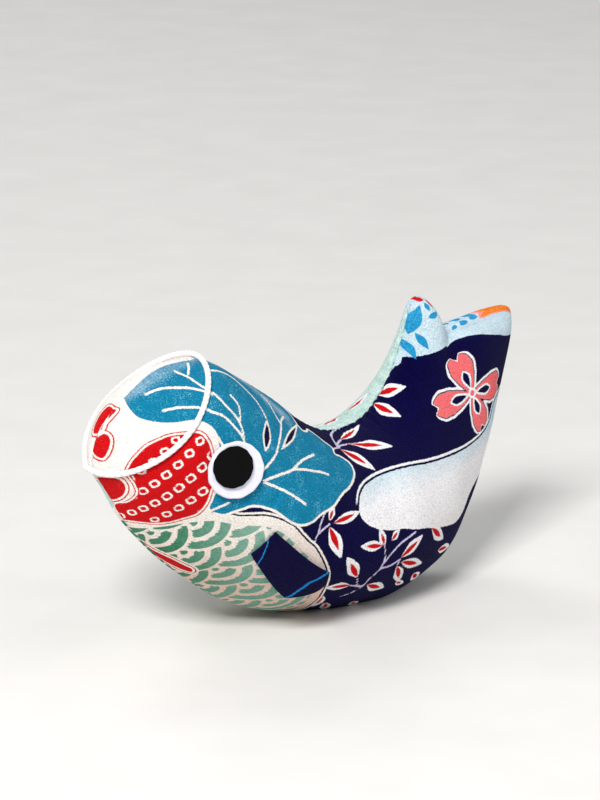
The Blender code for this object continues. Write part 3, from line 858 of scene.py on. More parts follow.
def dressed(points, station, angle, flat, seed):
    """The body's points with the seam's groove, its puckers and the filling's soft lumps. The groove
    is a bell curve of the distance to the seam, the puckers are rounded folds that die away from it,
    and the lumps are a few long waves in random directions."""
    around = arc_along(points, 1)
    along = arc_along(points, 0)
    to_back = around[:, -1:] - around
    to_belly = around
    to_tail = along[-1:] - along
    edge = np.minimum(np.minimum(to_back, to_belly), to_tail)
    normal = unit(np.cross(np.gradient(points, axis=1), np.gradient(points, axis=0)))
    normal = normal * np.where(normal[..., 1:2] < 0, -1.0, 1.0)
    normal[0] = unit(np.array(NOSE_WAY))
    thick = 1 - TAIL_EASE * np.clip((station - TAIL_START) / (STATIONS - TAIL_START - 1), 0, 1)
    rng = np.random.default_rng(seed)
    draw_at = station / STATIONS * (DRAWS - 2)
    jitter = through(rng.normal(0, JITTER, (DRAWS, 1)), draw_at)[..., 0]
    run = np.where(to_back < to_belly, along[:, -1:], along[:, :1])
    run = np.where(to_tail < np.minimum(to_back, to_belly), around, run)
    fold = np.abs(np.cos(math.pi * (run / PUCKER_PITCH + jitter))) ** 0.8 - PUCKER_LEVEL
    hollow = np.exp(-(((station - HOLLOW[0]) / HOLLOW[1]) ** 2)) * (to_back < to_belly)
    everywhere, in_hollow, uneven = PUCKER_DEPTH
    depth = everywhere + in_hollow * hollow + uneven * through(rng.normal(0, 1, (DRAWS, 1)), draw_at)[..., 0]
    puckers = depth * fold * np.exp(-edge / (PUCKER_REACH * (0.6 + 0.9 * hollow)))
    groove = -GROOVE[0] * np.exp(-((edge / GROOVE[1]) ** 2))
    lumps = np.zeros(station.shape)
    for _ in range(LUMPS):
        way = rng.uniform(0, 2 * math.pi)
        length = rng.uniform(*LUMP_LENGTHS)
        lumps += np.sin(2 * math.pi * (flat @ np.array([math.cos(way), math.sin(way)])) / length
                        + rng.uniform(0, 6.28)) * length / LUMP_LENGTHS[1]
    lumps = LUMP_HEIGHT * lumps * np.clip(edge / LUMP_EDGE, 0, 1)
    eye_free = np.clip(np.linalg.norm(points - EYE_SEAT, axis=-1) / WHITE_RADIUS - 1.0, 0, 1)
    moved = points + normal * ((puckers + groove) * thick + lumps * eye_free)[..., None]
    moved[..., 1] = np.maximum(moved[..., 1], 0.0)
    moved[..., 2] = np.maximum(moved[..., 2], FLOOR_ROOM)
    return moved


print("gathers ready, a pucker every", PUCKER_PITCH, "mm")

# %% [markdown]
# ## Meshes from grids
# Every piece below is a grid of points, so three helpers turn grids into meshes. Faces come from
# the grid's cells, the attributes ride along with the points, and a clean-up merges doubles.

# %% Turn grids into meshes


def quads(index):
    """The four corners of every cell of a grid of vertex numbers."""
    return np.stack([index[:-1, :-1], index[1:, :-1], index[1:, 1:], index[:-1, 1:]], axis=-1).reshape(-1, 4)


def ring_quads(rows, around):
    """The cells of a grid whose last column joins its first."""
    index = np.arange(rows * around).reshape(rows, around)
    return quads(np.concatenate([index, index[:, :1]], axis=1)).tolist()


def mesh_object(name, points, faces, fields=None, sharp=40.0, merge=1e-7):
    """A mesh from points in metres and faces, with a number at each point for every field. Doubles
    are merged, which closes seams and poles, and its faces are then turned out."""
    mesh = bpy.data.meshes.new(name)
    mesh.from_pydata(np.asarray(points).reshape(-1, 3).tolist(), [], faces)
    for word, values in (fields or {}).items():
        kind = "FLOAT_VECTOR" if values.ndim == 2 else "FLOAT"
        layer = mesh.attributes.new(word, kind, "POINT")
        layer.data.foreach_set("vector" if values.ndim == 2 else "value",
                               np.ascontiguousarray(values, dtype=np.float32).ravel())
    work = bmesh.new()
    work.from_mesh(mesh)
    bmesh.ops.remove_doubles(work, verts=work.verts, dist=merge)
    bmesh.ops.dissolve_degenerate(work, edges=work.edges, dist=merge)
    bmesh.ops.recalc_face_normals(work, faces=work.faces)
    work.to_mesh(mesh)
    work.free()
    mesh.shade_smooth()
    mesh.set_sharp_from_angle(angle=math.radians(sharp))
    piece = bpy.data.objects.new(name, mesh)
    bpy.context.scene.collection.objects.link(piece)
    return piece


print("mesh helpers ready")

# %% [markdown]
# ## The crepe panels
# A fine grid over the rule of the body carries the print. The lining side is eight times coarser,
# since nobody sees it, and its edge fans out to meet the fine one, which keeps the piece closed.

# %% Build the panels
FINE_ROWS = 441
FINE_COLUMNS = 209
COARSER = 8
CREPE = 0.5
SEAM_GAP = 0.03
NOSE_SHARE = 0.99
CLOSER_ROWS = (0.012, 0.006)


def fan_faces(fine, coarse):
    """Triangles between a fine edge and one that has a point for every eighth of its points."""
    faces = []
    for k in range(len(coarse) - 1):
        part = fine[COARSER * k:COARSER * (k + 1) + 1]
        half = COARSER // 2
        faces += [(a, b, coarse[k]) for a, b in zip(part[:half], part[1:half + 1])]
        faces.append((part[half], coarse[k + 1], coarse[k]))
        faces += [(a, b, coarse[k + 1]) for a, b in zip(part[half:-1], part[half + 1:])]
    return faces


def grid(rows, columns):
    """Stations and angles of a grid, with closer rows at the nose and the tail's rim."""
    share = np.linspace(0, 1, rows)
    station = STATIONS * (share - CLOSER_ROWS[0] * np.sin(2 * math.pi * share)
                          - CLOSER_ROWS[1] * np.sin(4 * math.pi * share))
    return np.meshgrid(station, np.linspace(-90, 90, columns), indexing="ij")


def crepe_panel(name, side, printed, seed):
    """One panel: the printed face, the lining face and the edge between them."""
    station, angle = grid(FINE_ROWS, FINE_COLUMNS)
    flat = cloth_at(station, angle)
    form = body_point(station, angle)
    outer = dressed(pressed(form), station, angle, flat, seed)
    few_station, few_angle = station[::COARSER, ::COARSER], angle[::COARSER, ::COARSER]
    inner = pressed(body_point(few_station * NOSE_SHARE, few_angle, CREPE), CREPE)
    fields = printed(flat, form)
    count = station.size
    fine = np.arange(count).reshape(station.shape)
    coarse = count + np.arange(few_station.size).reshape(few_station.shape)
    faces = quads(fine).tolist() + quads(coarse).tolist()
    for a, b in ((fine[:, 0], coarse[:, 0]), (fine[:, -1], coarse[:, -1]), (fine[-1], coarse[-1]),
                 (fine[0], coarse[0])):
        faces += fan_faces(a.tolist(), b.tolist())
    points = np.concatenate([to_side(face, side, SEAM_GAP).reshape(-1, 3) for face in (outer, inner)])
    few = flat[::COARSER, ::COARSER].reshape(-1, 2)
    place = np.concatenate([flat.reshape(-1, 2), few])
    layers = {"cloth": np.column_stack([place, np.zeros(len(place))])}
    for word, values in fields.items():
        layers[word] = np.concatenate([values.ravel(), values[::COARSER, ::COARSER].ravel()])
    piece = mesh_object(name, points, faces, layers)
    print(name, len(piece.data.polygons), "faces")
    return piece


panels = {"left": crepe_panel("crepe_left", LEFT, left_print, 3),
          "right": crepe_panel("crepe_right", RIGHT, right_print, 8)}

# %% [markdown]
# ## The crepe's dyes and grain
# Chirimen crepe is woven with overtwisted weft, so its face is a mass of tiny crinkles. They make
# the dye take unevenly and catch the light. Here the crinkle is noise stretched along the weft
# plus rounded cells: it wobbles the edges of the print, speckles the dyes and raises the bump, and
# in the print it also paints light on the ridges and shade in the hollows.

# %% Dye the cloth
NAVY = linear(3, 0, 54)
NAVY_LIGHT = linear(26, 18, 122)
TEAL = linear(14, 128, 166)
TEAL_LIGHT = linear(124, 206, 224)
RED = linear(208, 14, 20)
RED_DARK = linear(150, 4, 16)
GREEN = linear(0, 112, 70)
GREEN_PALE = linear(166, 208, 194)
CREAM = linear(251, 244, 236)
PINK_CREAM = linear(240, 208, 192)
WHITE = linear(250, 248, 250)
PALE_BLUE = linear(204, 226, 236)
MINT = linear(206, 230, 224)
PINK = linear(248, 112, 116)
PINK_LIGHT = linear(252, 158, 152)
ORANGE = linear(248, 130, 34)
AZURE = linear(34, 150, 204)
ORANGE_LIGHT = linear(250, 170, 90)
LAVENDER = linear(214, 204, 232)
SHARP = 0.10
CREPE_RELIEF = 0.00022


def grain(cloth):
    """The crepe's crinkle, -0.5 to 0.5: short weft ridges and rounded cells."""
    ridges = cloth.noise(cloth.cloth((1.0, 1.7)), 3.1, 3.0, 0.65)
    cells = cloth.node("ShaderNodeTexVoronoi", {"feature": "SMOOTH_F1"},
                       {"Vector": cloth.cloth((1.0, 1.4)), "Scale": 3.3, "Smoothness": 0.5})
    return ridges * 1.3 + (0.35 - cells) * 0.8


def ramp(cloth, axis, low, high, wobble):
    """0 to 1 along one axis of the flat cloth, between two places."""
    place = cloth.node("ShaderNodeSeparateXYZ", {}, [cloth.cloth()], output=axis)
    return ((place - (low + high) / 2 + wobble) * (1.0 / (high - low))).edge(1.0)


print("dyes mixed")

# %% [markdown]
# ## The print itself
# Dye edges on crepe aren't clean, so the grain is added to each field before it is cut at zero. The
# order is the printer's: grounds first, then large shapes, then lines and centres.

# %% Print the cloth


def crepe(name):
    """The printed crepe. Layers are laid as a printer would, each covering what is below."""
    cloth = Finish(name, 0.94, Sheen_Weight=0.02, Sheen_Roughness=0.5, Specular_IOR_Level=0.06)
    crinkle = grain(cloth)
    wobble = crinkle * 0.16 + cloth.noise(cloth.cloth(), 1.1, 1.0) * 0.12
    soft = cloth.noise(cloth.cloth(), 0.35, 3.0)
    speckle = crinkle * 0.9 + 0.5

    def over(color, field, dye, start=0.0, end=None, also=None):
        """Covers color with dye where the field is past start, and not past end."""
        value = (cloth.attribute(field) if isinstance(field, str) else field) + wobble
        share = (value - start).edge(SHARP)
        if end is not None:
            share = share.at_most((end - value).edge(SHARP))
        if also is not None:
            share = share * also
        return cloth.blend(share, color, dye)

    def dye(dark, light, amount=1.0):
        """A dye that took unevenly, between its dark and its light."""
        return cloth.blend((speckle + soft - 0.5) * amount, dark, light)

    # The grounds: navy on the left, mottled mint on the right.
    navy = dye(NAVY, NAVY_LIGHT, 0.7)
    mottle = (cloth.noise(cloth.cloth(), 0.6, 3.0) - 0.06).edge(0.2) * 0.6
    mint = cloth.blend(mottle, dye(MINT, WHITE, 0.8), GREEN_PALE)
    color = cloth.blend(cloth.attribute("pale").edge(1.0), navy, mint)
    # The cloud, blue above and cream below, with a white line off its upper edge.
    sky = cloth.blend(ramp(cloth, 1, 26.5, 21.5, soft * 3), PALE_BLUE, WHITE)
    sky = cloth.blend(ramp(cloth, 1, 18.0, 12.0, soft * 3) * 0.35, sky, CREAM)
    color = over(color, "cloud", WHITE, -0.85, -0.4, also=ramp(cloth, 1, 22.6, 23.4, soft))
    # The cloud's own dye, then the tail's and the twigs'.
    for field, ink, start in (("cloud", sky, 0.0), ("tail", dye(PALE_BLUE, WHITE, 0.9), 0.0),
                              ("drops", dye(AZURE, TEAL_LIGHT), 0.0), ("red_drops", dye(RED, PINK), 0.0),
                              ("orange", PINK_LIGHT, -0.4), ("orange", dye(ORANGE, ORANGE_LIGHT), 0.0),
                              ("stems", LAVENDER, 0.0), ("leaves", WHITE, 0.0),
                              ("streaks", dye(RED, RED_DARK), 0.0)):
        color = over(color, field, ink, start)
    # The belly: a cream and a navy line, then a ground with green rings that pale upwards and aft.
    belly = cloth.attribute("belly")
    behind = ramp(cloth, 0, -29.5, -28.0, soft)
    color = over(color, belly, CREAM, -0.95, -0.55, also=behind)
    color = over(color, belly, NAVY, -0.55, -0.25, also=behind)
    ground = cloth.blend(ramp(cloth, 1, 24.0, 6.0, soft * 6), CREAM, PINK_CREAM)
    color = over(color, belly, ground, -0.25)
    far_up = ramp(cloth, 1, 10.0, 26.0, soft * 3) * 0.2 + ramp(cloth, 0, -37.0, -24.0, soft * 4) * 0.5
    faded = cloth.blend(far_up, GREEN, GREEN_PALE)
    rings = cloth.attribute("waves").at_most(belly - 1.6)
    color = over(color, rings, cloth.blend(speckle * 0.2, faded, GREEN_PALE))
    # The face and the teal leaf, with a painted highlight that pales the leaf towards the crown.
    color = over(color, "face", dye(CREAM, WHITE, 0.8))
    color = over(color, "teal", CREAM, -0.25, 0.25, also=ramp(cloth, 0, -33.0, -31.5, soft))
    # Painted highlight: the teal is blended to pale blue towards the crown.
    highlight_share = (cloth.attribute("teal_highlight") + soft * 2 + crinkle * 2) * 0.18
    color = over(color, "teal", cloth.blend(highlight_share, dye(TEAL, TEAL_LIGHT, 1.5), PALE_BLUE), 0.2)
    # The rest, each motif from its outer line inwards.
    red_line = dye(RED, PINK, 0.8)
    kanoko = cloth.attribute("kanoko")
    for field, ink, start, end in (
            ("veins", CREAM, 0.0, None), ("slits", CREAM, -0.1, None), ("slits", navy, 0.28, None),
            (kanoko, CREAM, -0.9, None), (kanoko, red_line, -0.55, -0.35),
            (kanoko, dye(RED, RED_DARK), 0.0, None),
            (cloth.attribute("rings").at_most(kanoko - 0.25), CREAM, 0.0, None),
            ("petals", CREAM, -1.1, None), ("petals", red_line, -0.7, -0.45),
            ("petals", dye(RED, PINK, 0.45), 0.0, None),
            ("flower", WHITE, -0.35, None), ("flower", navy, 0.14, 0.36),
            ("flower", dye(PINK, PINK_LIGHT), 0.35, None),
            ("flower_drops", WHITE, -0.35, None), ("flower_drops", navy, 0.05, None),
            ("flower_eye", WHITE, -0.2, None), ("flower_eye", PINK, 0.25, None)):
        color = over(color, field, ink, start, end)
    # Painted light and shade of the crinkle: the colour is brightened on its ridges and darkened in its
    # hollows.
    shade = cloth.node("ShaderNodeVectorMath", {"operation": "SCALE"},
                       {0: color, "Scale": 1.04 + crinkle * 0.5})
    height = crinkle + cloth.noise(cloth.cloth(), 6.0, 1.0) * 0.25
    return cloth.end(shade, cloth.noise(cloth.cloth(), 1.5) * 0.12 + 0.92, height, CREPE_RELIEF, 1.0)


for panel in panels.values():
    panel.data.materials.append(crepe(panel.name))
print("crepe dyed")

# %% [markdown]
# ## The mouth
# The mouth is a soft white three-ply cord, glued down in a loop. It lies on the face all round
# and drapes back a little at the sides. Its surface is a tube whose radius swells three times a
# turn, and the swellings wind along it, which is what twisted plies look like.

# %% Lay the mouth cord
CORD_RADIUS = 0.5
CORD_STATION = 2.45
CORD_DRAPE = 0.15
CORD_LIFT = 0.55
CHIN_LIFT = (0.42, 26.0)
CORD_TURNS = 26
PLIES = 3
PLY_RELIEF = 0.12


def twisted_tube(path, normals, radius, turns, plies, closed, around=28):
    """A tube along a path of points in metres. Its radius is the radius of one ply's arc, from the
    cosine of plies times the turn, and the turn advances along the path."""
    ahead = np.roll(path, -1, axis=0) - np.roll(path, 1, axis=0) if closed else np.gradient(path, axis=0)
    tangent = unit(ahead)
    out = unit(normals - (normals * tangent).sum(-1, keepdims=True) * tangent)
    aside = np.cross(tangent, out)
    rows = len(path)
    turn = np.linspace(0, 2 * math.pi, around, endpoint=False)[None, :]
    share = (np.arange(rows) / rows)[:, None] if closed else np.linspace(0, 1, rows)[:, None]
    wind = plies * turn - share * turns * 2 * math.pi
    lobe = 1 - PLY_RELIEF + PLY_RELIEF * np.abs(np.cos(wind / 2))
    ring = np.cos(turn)[..., None] * out[:, None] + np.sin(turn)[..., None] * aside[:, None]
    points = path[:, None] + ring * (radius * lobe)[..., None]
    index = np.arange(rows * around).reshape(rows, around)
    faces = ring_quads(rows, around)
    if closed:
        seam_rows = index[[-1, 0]]
        faces += quads(np.concatenate([seam_rows, seam_rows[:, :1]], axis=1)).tolist()
    else:
        faces += [index[0].tolist(), index[-1].tolist()]
    length = np.linalg.norm(np.diff(path, axis=0), axis=-1)
    length = np.concatenate([[0], np.cumsum(length)])
    place = np.stack(np.broadcast_arrays(length[:, None] / MM, turn * radius / MM, wind / 6.283), axis=-1)
    return points.reshape(-1, 3), faces, {"cloth": place.reshape(-1, 3)}


def mouth_path(count):
    """The cord's centre line on the face and its outward directions."""
    turn = np.linspace(0, 2 * math.pi, count, endpoint=False)
    side = np.where(np.cos(turn) >= 0, LEFT, RIGHT)
    angle = np.degrees(np.arctan2(np.sin(turn), np.abs(np.cos(turn))))
    station = CORD_STATION + CORD_DRAPE * np.cos(turn) ** 2
    station = station - CHIN_LIFT[0] * np.exp(-(((angle + 90) / CHIN_LIFT[1]) ** 2))
    place = body_point(station, angle)
    normal = normal_at(station, angle)
    flatten = np.clip((np.abs(angle) - 70) / 18, 0, 1)[:, None]
    normal = unit(normal * np.array([1, 0, 1]) * flatten + normal * (1 - flatten))
    place = place + normal * CORD_LIFT
    sign = side[:, None] * np.array([0, 1, 0]) + np.array([1, 0, 1])
    return place * sign * MM, normal * sign


def thread_finish(name, dark, light, rough=0.7):
    """Twisted yarn: painted shade in the grooves between the plies and lighter crowns, with fine fibres
    along them.
    """
    yarn = Finish(name, rough, Sheen_Weight=0.3)
    place = yarn.node("ShaderNodeAttribute", {"attribute_name": "cloth"}, output="Vector")
    ply = yarn.node("ShaderNodeSeparateXYZ", {}, [place], output=2)
    lobe = yarn.node("ShaderNodeMath", {"operation": "COSINE"}, [ply * 3.1416])
    lobe = yarn.node("ShaderNodeMath", {"operation": "ABSOLUTE"}, [lobe])
    fibres = yarn.noise(place, 9.0, 3.0)
    # Painted shade in the grooves between the plies, and painted light on their crowns.
    color = yarn.blend(lobe * 1.2 + fibres * 0.6, dark, light)
    return yarn.end(color, fibres * 0.2 + rough, fibres + lobe * 0.6, 0.00008, 0.7)


cord_path, cord_normals = mouth_path(420)
points, faces, layers = twisted_tube(cord_path, cord_normals, CORD_RADIUS * MM, CORD_TURNS * PLIES, PLIES,
                                     True)
mouth = mesh_object("mouth_loop", points, faces, layers, sharp=80.0)
mouth.data.materials.append(thread_finish("cord_white", linear(214, 212, 218), linear(252, 252, 254)))
print("mouth cord:", round(float(np.linalg.norm(np.diff(cord_path, axis=0), axis=-1).sum() / MM)), "mm long")

# %% [markdown]
# ## The eyes
# Each eye is two felt-like discs, cut by hand and glued, so their outlines are not quite round.
# A disc is a surface of a distance from its middle and a turn: flat, with a rolled edge. The
# black one sits off-centre, forward and up, which gives the carp its glance.

# %% Cut the eye discs
WHITE_LIFT = 0.12
WHITE_THICKNESS = 1.1
PUPIL_LIFT = 1.35
PUPIL_RADIUS = 3.65
PUPIL_THICKNESS = 0.6
WHITE_SHIFT = (0.35, 0.35)
PUPIL_SHIFT = (1.35, 1.12)
HAND_CUT = (1.07, 0.97)
HAND_WAVES = (2, 3, 4, 5, 7, 9, 13)
DISC_ROLL = 0.32
DISC_DOME = 0.10
AROUND_DISC = 128


def disc_profile(radius, thickness, roll):
    """Radius and height of a disc's profile from the middle of its back, round its edge to the
    middle of its face. The edge is a quarter of a superellipse on each side."""
    turn = np.linspace(-90, 90, 25)
    c, s = np.cos(np.radians(turn)), np.sin(np.radians(turn))
    edge_r = radius - roll + roll * np.abs(c) ** 0.8
    edge_h = thickness / 2 + thickness / 2 * np.sign(s) * np.abs(s) ** 0.8
    inside = np.linspace(0, 1, 14)[:-1]
    r = np.concatenate([inside * (radius - roll), edge_r, inside[::-1] * (radius - roll)])
    h = np.concatenate([inside * 0, edge_h, inside * 0 + thickness])
    return r, h


def eye_disc(name, side, radius, thickness, lift, shift, seed):
    """A disc on the eye's seat. Its outline is its radius times one plus a few small waves."""
    normal = EYE_NORMAL * np.array([1, side, 1])
    seat = EYE_SEAT * np.array([1, side, 1])
    up = unit(np.array([0, 0, 1.0]) - normal * normal[2])
    forward = np.array([-1.0, 0, 0])
    forward = unit(forward - normal * (forward @ normal) - up * (forward @ up))
    r, h = disc_profile(radius, thickness, DISC_ROLL)
    turn = np.linspace(0, 2 * math.pi, AROUND_DISC, endpoint=False)
    rng = np.random.default_rng(seed)
    hand = sum(rng.normal(0, 0.0045) * np.sin(k * turn + rng.uniform(0, 6.28)) for k in HAND_WAVES)
    wide = r[:, None] * (1 + hand[None, :] * (r[:, None] / radius) ** 2)
    dome = DISC_DOME * (1 - (r / radius) ** 2) * (h > thickness / 2)
    place = seat + normal * lift + forward * shift[0] + up * shift[1]
    rim = HAND_CUT[0] * np.cos(turn)[:, None] * forward + HAND_CUT[1] * np.sin(turn)[:, None] * up
    points = place + wide[..., None] * rim + (h + dome)[:, None, None] * normal
    high = np.broadcast_to(h[:, None], wide.shape)
    cloth = np.stack([wide * np.cos(turn), wide * np.sin(turn), high], axis=-1).reshape(-1, 3)
    faces = ring_quads(len(r), AROUND_DISC)
    return mesh_object(name, points.reshape(-1, 3) * MM, faces, {"cloth": cloth}, 60.0)


def felt(name, dark, light, rough, bump):
    """Pressed felt: cloudy colour and short matted fibres."""
    fibre = Finish(name, rough, Specular_IOR_Level=0.12)
    place = fibre.cloth((1.0, 1.0))
    mat = fibre.noise(place, 7.0, 4.0, 0.65)
    cloudy = fibre.noise(place, 0.8, 2.0)
    color = fibre.blend(mat * 0.9 + cloudy + 0.5, dark, light)
    return fibre.end(color, mat * 0.2 + rough, mat, bump, 0.6)


eye_white = felt("eye_white", linear(216, 214, 234), linear(240, 239, 250), 0.75, 0.00006)
eye_black = felt("eye_black", linear(2, 2, 3), linear(6, 6, 8), 0.9, 0.00006)
eyes = {}
for word, side, seed in (("left", LEFT, 21), ("right", RIGHT, 34)):
    white = eye_disc(f"eye_disc_{word}", side, WHITE_RADIUS, WHITE_THICKNESS, WHITE_LIFT, WHITE_SHIFT, seed)
    white.data.materials.append(eye_white)
    pupil = eye_disc(f"pupil_{word}", side, PUPIL_RADIUS, PUPIL_THICKNESS, PUPIL_LIFT, PUPIL_SHIFT, seed + 1)
    pupil.data.materials.append(eye_black)
    eyes[word] = (white, pupil)
print("two discs an eye")

# %% [markdown]
# ## The pectoral fins
# A fin is a square of navy crepe, folded in half and sewn down at its front edge. The fold makes
# a soft rounded rim, the two layers part a little at the free rear edge, and a bright blue
# highlight is painted along the lit fold ridges at both ends. It is a patch on the body's own
# surface, lifted off it, so it follows the body's bulge.

# %% Fold the fins
FIN_CORNERS = [(4.83, -14.2), (4.92, -32.2), (5.78, -42.8), (5.88, -18.3)]
FIN_THICKNESS = 0.7
FRONT_LIFT = 0.4
REAR_LIFT = 1.1
SEWN_DIP = (0.38, 0.8)
FIN_BULGE = (0.16, 1.45)
FIN_SIZE = (11.0, 7.5)
FIN_ROWS = 90
FIN_COLUMNS = 60
FIN_EDGE = 0.42
FIN_GAP = 0.15
STITCHES = 6
STITCH_DEPTH = 0.22
STITCH_AT = (0.9, 0.35)
RIDGE_HIGHLIGHT_WIDTHS = (0.15, 0.12)
RIDGE_HIGHLIGHT_INSET = 0.35
RUMPLES = ((5, 2), (3, 6), (9, -4), (-6, 7))


def fin_flap(name, side, seed):
    """Upper and lower faces of the flap on a grid from front to rear and from top to bottom. The
    thickness falls off as a quarter ellipse near every edge, and long low waves rumple it. The front
    edge dips towards the cloth, with a row of stitches behind it."""
    back = np.linspace(0, 1, FIN_ROWS)[:, None, None]
    down = np.linspace(0, 1, FIN_COLUMNS)[None, :, None]
    front_top, front_bottom, rear_bottom, rear_top = (np.array(corner) for corner in FIN_CORNERS)
    where = ((front_top * (1 - down) + front_bottom * down) * (1 - back)
             + (rear_top * (1 - down) + rear_bottom * down) * back)
    back, down = back[..., 0], down[..., 0]
    station = where[..., 0] + FIN_BULGE[0] * np.sin(math.pi * down) * back**3
    angle = where[..., 1]
    place = body_point(station, angle)
    normal = normal_at(station, angle)
    run, fall = back * FIN_SIZE[0], down * FIN_SIZE[1]
    lift = FRONT_LIFT + (REAR_LIFT - FRONT_LIFT) * back**1.5
    lift = lift - SEWN_DIP[0] * np.exp(-((run / SEWN_DIP[1]) ** 2))
    edge = np.minimum(np.minimum(back, 1 - back) * FIN_SIZE[0], np.minimum(down, 1 - down) * FIN_SIZE[1])
    round_off = np.sqrt(1 - np.clip(1 - edge / FIN_EDGE, 0, 1) ** 2)
    rng = np.random.default_rng(seed)
    rumple = sum(rng.normal(0, 0.05) * np.sin(a * back + b * down + rng.uniform(0, 6.28))
                 for a, b in RUMPLES)
    rows = np.exp(-((run - STITCH_AT[0]) / STITCH_AT[1]) ** 2)
    stitch = -STITCH_DEPTH * rows * np.abs(np.cos(down * math.pi * STITCHES)) ** 3
    middle = lift + FIN_THICKNESS / 2 + rumple * np.clip(edge / 1.5, 0, 1)
    half = FIN_THICKNESS / 2 * (0.82 + 0.18 * down) * round_off
    over = place + normal * (middle + half + stitch * round_off)[..., None]
    under = place + normal * (middle - half)[..., None]
    index = np.arange(FIN_ROWS * FIN_COLUMNS).reshape(FIN_ROWS, FIN_COLUMNS)
    faces = quads(index).tolist() + quads(index + index.size).tolist()
    points = np.concatenate([over.reshape(-1, 3), under.reshape(-1, 3)])
    flat = np.stack(np.broadcast_arrays(run, fall, 0 * back + 0 * down), axis=-1).reshape(-1, 3)
    # The painted highlight of the lit fold ridges: a narrow band near the rear edge and one near the front,
    # with a small wobble.
    hand = 0.05 * np.sin(down * 7 + seed) + 0.04 * np.sin(down * 19)
    rear_highlight = (1 - back) * FIN_SIZE[0] - RIDGE_HIGHLIGHT_INSET - FIN_BULGE[1] * np.sin(math.pi * down) - hand
    front_highlight = run - 3.4 * (down - RIDGE_HIGHLIGHT_INSET) - hand
    ridge_highlight = np.maximum(RIDGE_HIGHLIGHT_WIDTHS[0] - np.abs(rear_highlight), RIDGE_HIGHLIGHT_WIDTHS[1] - np.abs(front_highlight)).ravel()
    layers = {"cloth": np.tile(flat, (2, 1)), "ridge_highlight": np.tile(ridge_highlight, 2)}
    return mesh_object(name, to_side(points, side, FIN_GAP), faces, layers, 70.0)


def navy_crepe():
    """Navy crepe with a painted bright blue highlight along its lit fold ridges."""
    cloth = Finish("crepe_navy", 0.94, Sheen_Weight=0.02, Sheen_Roughness=0.5, Specular_IOR_Level=0.06)
    crinkle = grain(cloth)
    # Painted highlight of the lit fold ridges, in bright blue over the navy.
    line = (cloth.attribute("ridge_highlight") + crinkle * 0.14).edge(0.12)
    color = cloth.blend(crinkle + 0.4, linear(5, 3, 40), linear(18, 12, 74))
    color = cloth.blend(line, color, linear(24, 138, 216))
    return cloth.end(color, crinkle * 0.1 + 0.92, crinkle, CREPE_RELIEF, 1.0)


fin_finish = navy_crepe()
fins = {}
for word, side, seed in (("left", LEFT, 5), ("right", RIGHT, 6)):
    fins[word] = fin_flap(f"fin_{word}_flap", side, seed)
    fins[word].data.materials.append(fin_finish)
print("two fins")

# %% [markdown]
# ## The closing stitches
# After stuffing, the last stretch of seam under the tail is closed with whip stitches, which go
# over the seam from side to side and dip into the cloth at each end.

# %% Sew the opening shut
THREAD_RADIUS = 0.18
THREAD_SPAN = (8.3, 9.7)
THREAD_CROSSINGS = 10
THREAD_REACH = 1.1


def closing_path(per_stitch=14):
    """A zigzag over the seam, smooth at its turns, that sits on the cloth between them."""
    count = (THREAD_CROSSINGS - 1) * per_stitch + 1
    at = np.linspace(0, THREAD_CROSSINGS - 1, count)
    station = THREAD_SPAN[0] + (THREAD_SPAN[1] - THREAD_SPAN[0]) * at / (THREAD_CROSSINGS - 1)
    edge = seam(-station, -(THREAD_RADIUS + 0.10))
    swing = -np.cos(at * math.pi)
    aside = THREAD_REACH * np.sign(swing) * np.abs(swing) ** 0.7
    inward = unit(seam(-station, 1.0) - seam(-station))
    sink = 0.05 + 0.22 * np.abs(swing) ** 2
    edge = edge + inward * sink[:, None]
    path = np.stack([edge[:, 0], aside, edge[:, 1]], axis=1)
    out = np.stack([-inward[:, 0], aside * 0.2, -inward[:, 1]], axis=1)
    return path * MM, unit(out)


path, out = closing_path()
points, faces, layers = twisted_tube(path, out, THREAD_RADIUS * MM, 60, 2, False, 12)
stitches = mesh_object("closing_stitches", points, faces, layers, 80.0)
stitches.data.materials.append(thread_finish("thread", linear(8, 8, 40), linear(36, 34, 96)))
print("closing stitches:", len(stitches.data.polygons), "faces")

# %% [markdown]
# ## What is inside
# The filling isn't seen, but the part is a real one, so it gets the same care: loose wadding with
# tufts, a firmer wad that holds the tail up, and a cloth bag of pellets that keeps the belly
# down. Each is lofted inside the panels and made lumpy along its normals.

# %% Fill the carp
STUFFING_SPAN = (0.5, 8.6)
TAIL_WAD_SPAN = (8.75, 11.2)
FILLING_INSET = 1.4
PELLET_CENTRE = np.array([3.5, 0.0, 5.2])
PELLET_RADII = np.array([11.0, 8.0, 4.0])
POCKET_ROOM = 1.0
POUCH_CLOTH = 0.35


def lumpy(points, seed, size, height, waves=18):
    """A field of rounded lumps: a sum of sines of the place, each in a random direction."""
    rng = np.random.default_rng(seed)
    total = np.zeros(points.shape[:-1])
    for _ in range(waves):
        way = unit(rng.normal(size=3))
        total += np.sin(points @ way * (2 * math.pi / (size * rng.uniform(0.6, 1.8))) + rng.uniform(0, 6.28))
    return height * total / math.sqrt(waves)


def wad(name, span, rows, seed):
    """A wad between two stations, with its ends closed to a point inside the body."""
    station, angle = np.meshgrid(np.linspace(*span, rows), np.linspace(-90, 90, 49), indexing="ij")
    half = pressed(body_point(station, angle, FILLING_INSET), FILLING_INSET)
    half[..., 1] = np.maximum(half[..., 1], 0)
    ring = np.concatenate([half * (1, LEFT, 1), (half * (1, RIGHT, 1))[:, -2:0:-1]], axis=1)
    centre = ring.mean(axis=1, keepdims=True)
    grow = 1 - np.abs(np.linspace(-1, 1, rows)) ** 6
    points = centre + (ring - centre) * np.maximum(grow, 0)[:, None, None]
    normal = unit(points - centre)
    shrink = lumpy(points, seed, 6.0, 0.25) - 0.4
    points = points + normal * (np.minimum(shrink, 0) * np.sqrt(np.maximum(grow, 0))[:, None])[..., None]
    points, faces = points.reshape(-1, 3), ring_quads(*points.shape[:2])
    return mesh_object(name, points * MM, faces, {"cloth": points}, 80.0)


